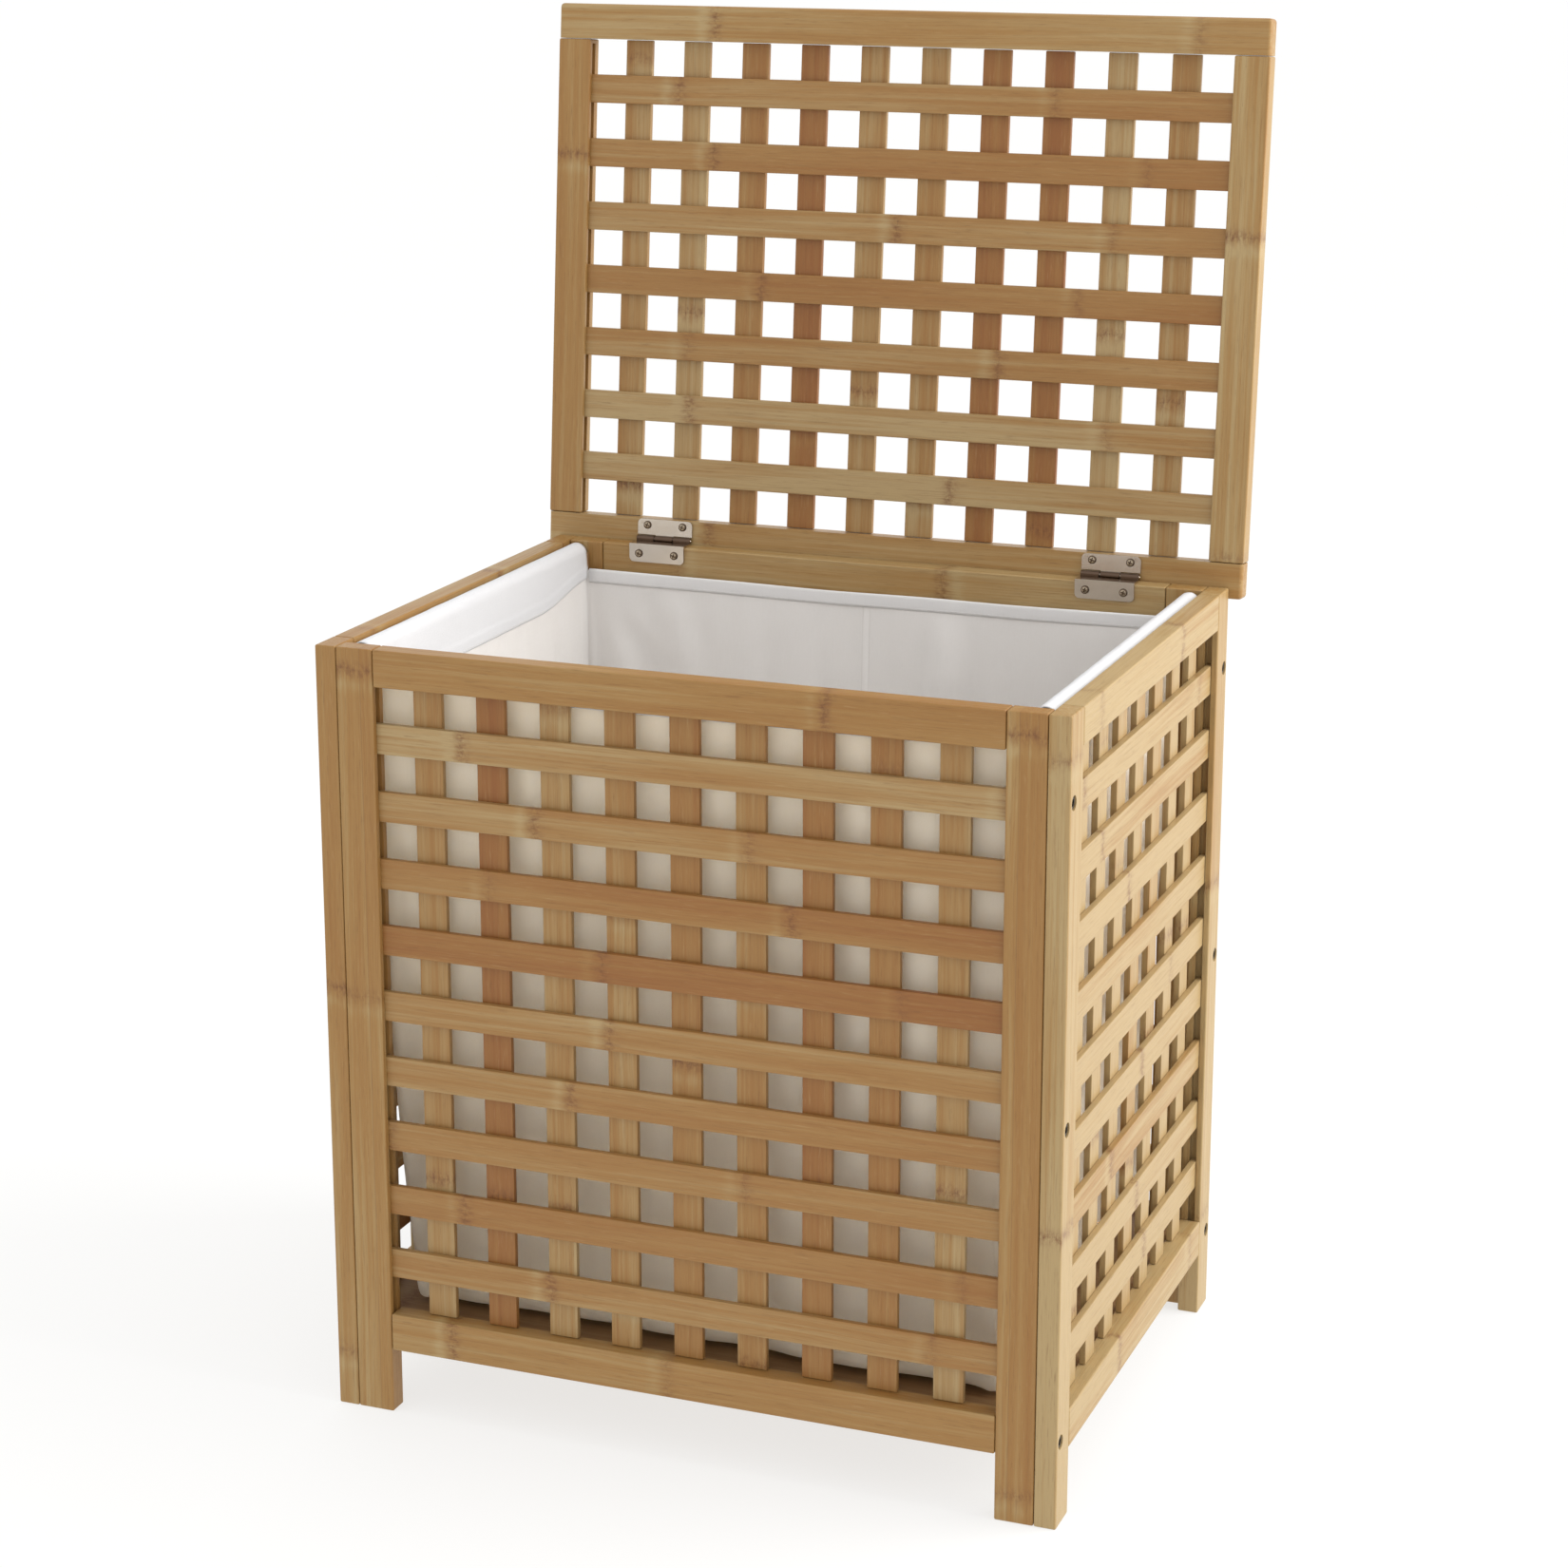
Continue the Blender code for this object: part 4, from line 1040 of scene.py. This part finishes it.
def round_corner(point, low, high):
    """Moves a point of the box onto corners that are tight at the rim and fuller lower down."""
    down = (high.z - point.z) / (high.z - low.z)
    radius = BAG_TOP_CORNER + (BAG_CORNER - BAG_TOP_CORNER) * down
    near = Vector([min(max(c, a + radius), b - radius) for c, a, b in zip(point, low, high)])
    near.z = max(point.z, low.z + radius)
    apart = point - near
    return near + apart.normalized() * radius if apart.length > 1e-9 else point


def ease(value):
    """0 below 0, 1 above 1, and a smooth rise between."""
    held = min(1.0, max(0.0, value))
    return held * held * (3 - 2 * held)


def front_fold(x, z):
    """How far the front wall's long soft folds stand inward."""
    sway = 0.012 * noise.noise(Vector((x * 5, 1.7, z * 7)))
    wide = noise.noise(Vector(((x + sway) * 15, 0.3, z * 3.0)))
    narrow = noise.noise(Vector(((x + sway) * 38, 4.1, z * 8.0)))
    crest = 1 - 2 * abs(noise.noise(Vector(((x + 1.6 * sway) * 9, 9.2, z * 2.2))))
    return 0.0036 + 0.0120 * wide + 0.0050 * narrow - 0.0042 * crest ** 4


def back_fold(x, z):
    """Shallow folds: a fan from the wall's upper left corner, and slow waves towards its right end."""
    across, down = x + BAG_X, RIM_Z - z
    reach = math.hypot(across, down)
    fan = math.sin(11 * math.atan2(down, across) + 1.2)
    fan *= ease(reach / 0.03) * (1 - ease((reach - 0.05) / 0.12))
    wave = math.sin(52 * (x + 0.018 * math.sin(24 * z + 0.8)) + 0.6) * ease((x + 0.02) / 0.10)
    plain = noise.noise(Vector((x * 11, 7.7, z * 8)))
    crease = noise.noise(Vector(((x + 0.6 * z) * 26, 2.9, (z - 0.4 * x) * 9)))
    seam = math.exp(-((x - BACK_SEAM_X) / 0.0022) ** 2)
    return 0.0030 + 0.0042 * fan + 0.0030 * wave + 0.0060 * plain + 0.0042 * crease + 0.0011 * seam


def side_fold(y, z, hand):
    wide = noise.noise(Vector((hand * 3.1, y * 13, z * 4)))
    return 0.0045 * wide + 0.0018 * noise.noise(Vector((hand * 8.3, y * 34, z * 12)))


def hang(point):
    """The bag's soft shape before it settles: it draws in below its rim and folds along its walls."""
    x, y, z = point
    height = RIM_Z - LINER_LOW.z
    down = (RIM_Z - z) / height
    lower = max(0.0, (down - 0.05) / 0.95)
    pull = BAG_PULL["right" if x > 0 else "left"] * (ease(lower / 0.55) - 0.25 * ease((lower - 0.6) / 0.4))
    flare = 0.0008 * (1 - ease((RIM_Z - z) / 0.015))
    x_out = x * (1 - pull / BAG_X)
    free = ease(down / 0.14) * (1 - 0.6 * ease((down - 0.88) / 0.12))
    half_y = (LINER_HIGH.y - LINER_LOW.y) / 2
    from_middle = y - MIDDLE_Y
    corner = ease((BAG_X - abs(x)) / 0.035)
    if abs(x) > BAG_X - BAG_TOP_CORNER / 2:
        near_end = ease((half_y - abs(from_middle)) / 0.03)
        x_out += math.copysign(flare, x) - math.copysign(side_fold(y, z, x) * free * near_end, x)
    sag = rim_wave(x) * max(0.0, 1 - (RIM_Z - z) / 0.12) * ease((BAG_X - abs(x)) / 0.006)
    inward = 0.0
    if from_middle < -half_y + BAG_CORNER / 2:
        inward = max(-0.0024, front_fold(x, z)) * free * corner
    elif from_middle > half_y - BAG_CORNER / 2:
        inward = -max(-0.0024, back_fold(x, z)) * free * corner
    return Vector((x_out, y + inward, z + sag))


def settle(piece, pinned):
    """Lets the cloth hang under its weight, with its pinned points held, and keeps the result."""
    start = [v.co.copy() for v in piece.data.vertices]
    group = piece.vertex_groups.new(name="held")
    for vert in piece.data.vertices:
        weight = pinned(vert.co)
        if weight > 0:
            group.add([vert.index], weight, "REPLACE")
    cloth = piece.modifiers.new("cloth", "CLOTH")
    settings = cloth.settings
    settings.quality = 6
    settings.mass = 0.25
    settings.tension_stiffness = 12
    settings.compression_stiffness = 12
    settings.shear_stiffness = 4
    settings.bending_stiffness = 0.4
    settings.vertex_group_mass = "held"
    settings.shrink_min = -0.014
    settings.use_pressure = True
    settings.uniform_pressure_force = 0.25
    cloth.collision_settings.use_collision = False
    cloth.collision_settings.use_self_collision = False
    cloth.point_cache.frame_start = 1
    cloth.point_cache.frame_end = SETTLE_FRAMES
    for step in range(1, SETTLE_FRAMES + 1):
        bpy.context.scene.frame_set(step)
    evaluated = piece.evaluated_get(bpy.context.evaluated_depsgraph_get())
    ends = [v.co.copy() for v in evaluated.data.vertices]
    piece.modifiers.remove(cloth)
    bpy.context.scene.frame_set(1)
    for vert, begin, end in zip(piece.data.vertices, start, ends):
        vert.co = capped(begin, end)
    piece.vertex_groups.clear()


def capped(begin, end):
    """Keeps a settled point clear of the panels, and near where it began."""
    step = end - begin
    if step.length > SETTLE_REACH:
        step = step.normalized() * SETTLE_REACH
    point = begin + step
    point.x = min(max(point.x, -BAG_X - 0.0030), BAG_X + 0.0030)
    point.y = min(max(point.y, LINER_LOW.y - 0.0026), LINER_HIGH.y + 0.0026)
    point.z = max(point.z, LINER_LOW.z + CLOTH / 2)
    return point


def thicken(piece, thickness, smooth_levels=1):
    """Gives a sheet its cloth thickness."""
    if smooth_levels:
        finer = piece.modifiers.new("finer", "SUBSURF")
        finer.levels = smooth_levels
        finer.render_levels = smooth_levels
    solid = piece.modifiers.new("cloth_thickness", "SOLIDIFY")
    solid.thickness = thickness
    solid.offset = 0.0


def strip_surface(path, runs):
    """Quads between the rows of a grid of points; each point carries its cloth coordinates."""
    shape = bmesh.new()
    layer = shape.verts.layers.float_vector.new("cloth")
    rows = []
    for u in runs:
        row, across, last = [], 0.0, None
        for point in path(u):
            if last is not None:
                across += (point - last).length
            last = point
            made = shape.verts.new(point)
            made[layer] = Vector((u, across, 0.3))
            row.append(made)
        rows.append(row)
    for first, second in zip(rows, rows[1:]):
        for k in range(len(first) - 1):
            shape.faces.new([first[k], first[k + 1], second[k + 1], second[k]])
    bmesh.ops.recalc_face_normals(shape, faces=shape.faces)
    return shape


def steps(low, high, size):
    count = max(1, round((high - low) / size))
    return [low + (high - low) * k / count for k in range(count + 1)]


def hem_path(x, y, side):
    """The hem's section: up one face of the wall, over its rim and down the other. side points inward."""
    rim = RIM_Z + rim_wave(x)
    away = HEM_SKIN + HEM_LOOSE + 0.0001 * math.sin(60 * x)
    close = HEM_SKIN + 0.00005
    faces = [(close, -HEM_WIDTH), (away, -HEM_WIDTH + HEM_ROW), (away + 0.0002, -HEM_WIDTH / 2)]
    faces.append((away, -0.0012))
    points = [Vector((x, y + side * out, rim + rise)) for out, rise in faces]
    for k in range(7):
        angle = math.pi * k / 6
        points.append(Vector((x, y + side * away * math.cos(angle), rim + away * math.sin(angle))))
    points += [Vector((x, y - side * out, rim + rise)) for out, rise in reversed(faces)]
    return points


def build_hems():
    reach = BAG_X - 0.0028
    for name, y, side in HEMS:
        shape = strip_surface(lambda x: hem_path(x, y, side), steps(-reach, reach, 0.006))
        piece = place(name, shape, "hem", "hamper", smooth=60)
        thicken(piece, HEM_CLOTH, 0)


def seam_height(y):
    """The sleeve's seam runs level, then rises towards the rear."""
    return SLEEVE_SEAM + (SLEEVE_SEAM_REAR - SLEEVE_SEAM) * ease((y - 0.055) / 0.075)


def wall_at(z):
    """How far from the middle the bag's side wall hangs, near its rim."""
    return hang(Vector((BAG_X, MIDDLE_Y, z))).x


def sleeve_path(y, side):
    """The sleeve's section: up from its seam, over the rod and down outside the bag's wall."""
    radius = ROD_RADIUS + 0.00085
    seam = seam_height(y)
    skin = (CLOTH + SLEEVE_CLOTH) / 2 + 0.0001
    puff = 0.0006 * noise.noise(Vector((side * 2.3, y * 21, 0.4)))
    band_top = seam + min(SLEEVE_BAND, ROD_Z - seam - 0.006)
    tangent = ROD_X - radius
    foot = wall_at(seam) - skin

    def wall_side(z):
        share = (z - seam) / (ROD_Z - seam)
        return foot + (tangent - foot) * share - (0.0006 + puff) * math.sin(math.pi * share)

    points = [Vector((wall_side(seam) - 0.0001, y, seam))]
    for share in (0.12, 0.5, 0.9):
        z = seam + (band_top - seam) * share
        points.append(Vector((wall_side(z) - 0.0005, y, z)))
    for share in (0.0, 0.35, 0.7):
        z = band_top + 0.0002 + (ROD_Z - band_top) * share
        points.append(Vector((wall_side(z), y, z)))
    for k in range(19):
        angle = math.pi * (1 - k / 18)
        crease = 0.00022 * noise.noise(Vector((side * 5.1, y * 48, angle * 1.6)))
        out = radius + crease
        points.append(Vector((ROD_X + out * math.cos(angle), y, ROD_Z + out * math.sin(angle))))
    outer_foot = Vector((wall_at(SLEEVE_SEAM) + skin + 0.0004, y, seam + 0.001))
    top = points[-1]
    points += [top.lerp(outer_foot, k / 7) for k in range(1, 8)]
    return [Vector((side * p.x, p.y, p.z)) for p in points]


def build_sleeves():
    start, end = LINER_LOW.y + 0.0014, LINER_HIGH.y + 0.0004
    section = sleeve_path(0, 1)
    for side, hand in HANDS:
        shape = strip_surface(lambda y: sleeve_path(y, side), steps(start, end, 0.005))
        piece = place(f"{hand}_sleeve", shape, "sleeve", "hamper", smooth=60)
        thicken(piece, SLEEVE_CLOTH, 1)


def stitches(points, normal):
    """A row of stitches along a line of points, lying on the cloth that faces along normal."""
    shapes = []
    travelled, due = 0.0, 0.0
    for a, b in zip(points, points[1:]):
        span = (b - a).length
        while due < travelled + span:
            spot = a.lerp(b, (due - travelled) / span)
            shapes.append(one_stitch(spot, (b - a).normalized(), normal))
            due += STITCH + STITCH_GAP
        travelled += span
    return gathered(shapes)


def one_stitch(spot, along, normal):
    """A short raised thread with its ends pulled into the cloth."""
    side = along.cross(normal).normalized()
    shape = bmesh.new()
    rings = []
    for k in range(5):
        share = k / 4 - 0.5
        lift = STITCH_THICK * (0.9 - 5.0 * share * share)
        width = STITCH_THICK * (1.0 - 1.2 * share * share)
        centre = spot + along * STITCH * share + normal * lift
        ring = []
        for turn in range(6):
            angle = math.pi * turn / 3
            ring.append(shape.verts.new(centre + (side * math.cos(angle) + normal * math.sin(angle)) * width))
        rings.append(ring)
    for first, second in zip(rings, rings[1:]):
        for k in range(6):
            shape.faces.new([first[k], first[(k + 1) % 6], second[(k + 1) % 6], second[k]])
    shape.faces.new(rings[0][::-1])
    shape.faces.new(rings[-1])
    bmesh.ops.recalc_face_normals(shape, faces=shape.faces)
    return shape


def build_bag():
    shape = bag_surface()
    for vert in shape.verts:
        vert.co = hang(vert.co)
    piece = place("liner_bag", shape, ("cotton", "inside"), "hamper", replaces=("liner",), smooth=80)
    settle(piece, lambda co: 1.0 if co.z > RIM_Z - 0.016 else 0.0)
    thicken(piece, CLOTH)
    piece.modifiers["cloth_thickness"].material_offset = 1


def build_stitching():
    """Rows of stitches along the hems' lower edges and the sleeves' seams."""
    reach = BAG_X - 0.006
    hem_face = HEM_SKIN + HEM_LOOSE + HEM_CLOTH / 2
    rows = []
    for _, y, side in HEMS:
        line = []
        for x in steps(-reach, reach, 0.01):
            line.append(Vector((x, y + side * hem_face, RIM_Z + rim_wave(x) - HEM_WIDTH + HEM_ROW)))
        rows.append(stitches(line, Vector((0, side, 0))))
    for side, _ in HANDS:
        line = []
        for y in steps(LINER_LOW.y + 0.004, LINER_HIGH.y - 0.002, 0.008):
            path = sleeve_path(y, side)
            face = path[1].lerp(path[2], 0.2)
            line.append(Vector((face.x - side * SLEEVE_CLOTH / 2, y, face.z)))
        rows.append(stitches(line, Vector((-side, 0, 0))))
    place("liner_stitching", gathered(rows), "thread", "hamper", smooth=60)


# ---------------------------------------------------------------- stage


def area_light(name, location, target, size, energy, colour):
    data = bpy.data.lights.new(name, "AREA")
    data.shape = "RECTANGLE"
    data.size, data.size_y = size
    data.energy = energy
    data.color = colour
    lamp = linked(name, data)
    lamp.location = location
    lamp.rotation_euler = (Vector(target) - Vector(location)).to_track_quat("-Z", "Y").to_euler()


def build_stage():
    floor = linked("floor", to_mesh(box_shape((-30, -30, -0.05), (30, 30, -0.0001))))
    floor.data.materials.append(floor_material())
    world = bpy.data.worlds.new("studio")
    world.use_nodes = True
    sky = world.node_tree.nodes["Background"].inputs
    sky["Color"].default_value = (1.0, 1.0, 1.0, 1.0)
    sky["Strength"].default_value = 1.0
    bpy.context.scene.world = world
    area_light("softbox", (2.3, 0.5, 1.65), (0, 0, 0.4), (1.9, 1.9), 68.0, (1.0, 0.99, 0.975))
    bpy.context.scene.view_settings.view_transform = "Standard"


def build_camera():
    """The photograph's viewing angle."""
    data = bpy.data.cameras.new("camera")
    data.lens = 80.11
    data.sensor_width = 36.0
    data.shift_y = -0.06
    camera = linked("camera", data)
    camera.location = (0.7245, -1.8977, 0.934)
    camera.rotation_euler = (math.radians(90 - 14.22), 0, math.radians(21.18))
    bpy.context.scene.camera = camera


def main():
    build_camera()
    build_stage()
    build_body()
    build_lid()
    build_base_board()
    build_hinges()
    build_bolts()
    build_rods()
    build_bag()
    build_hems()
    build_sleeves()
    build_stitching()


main()
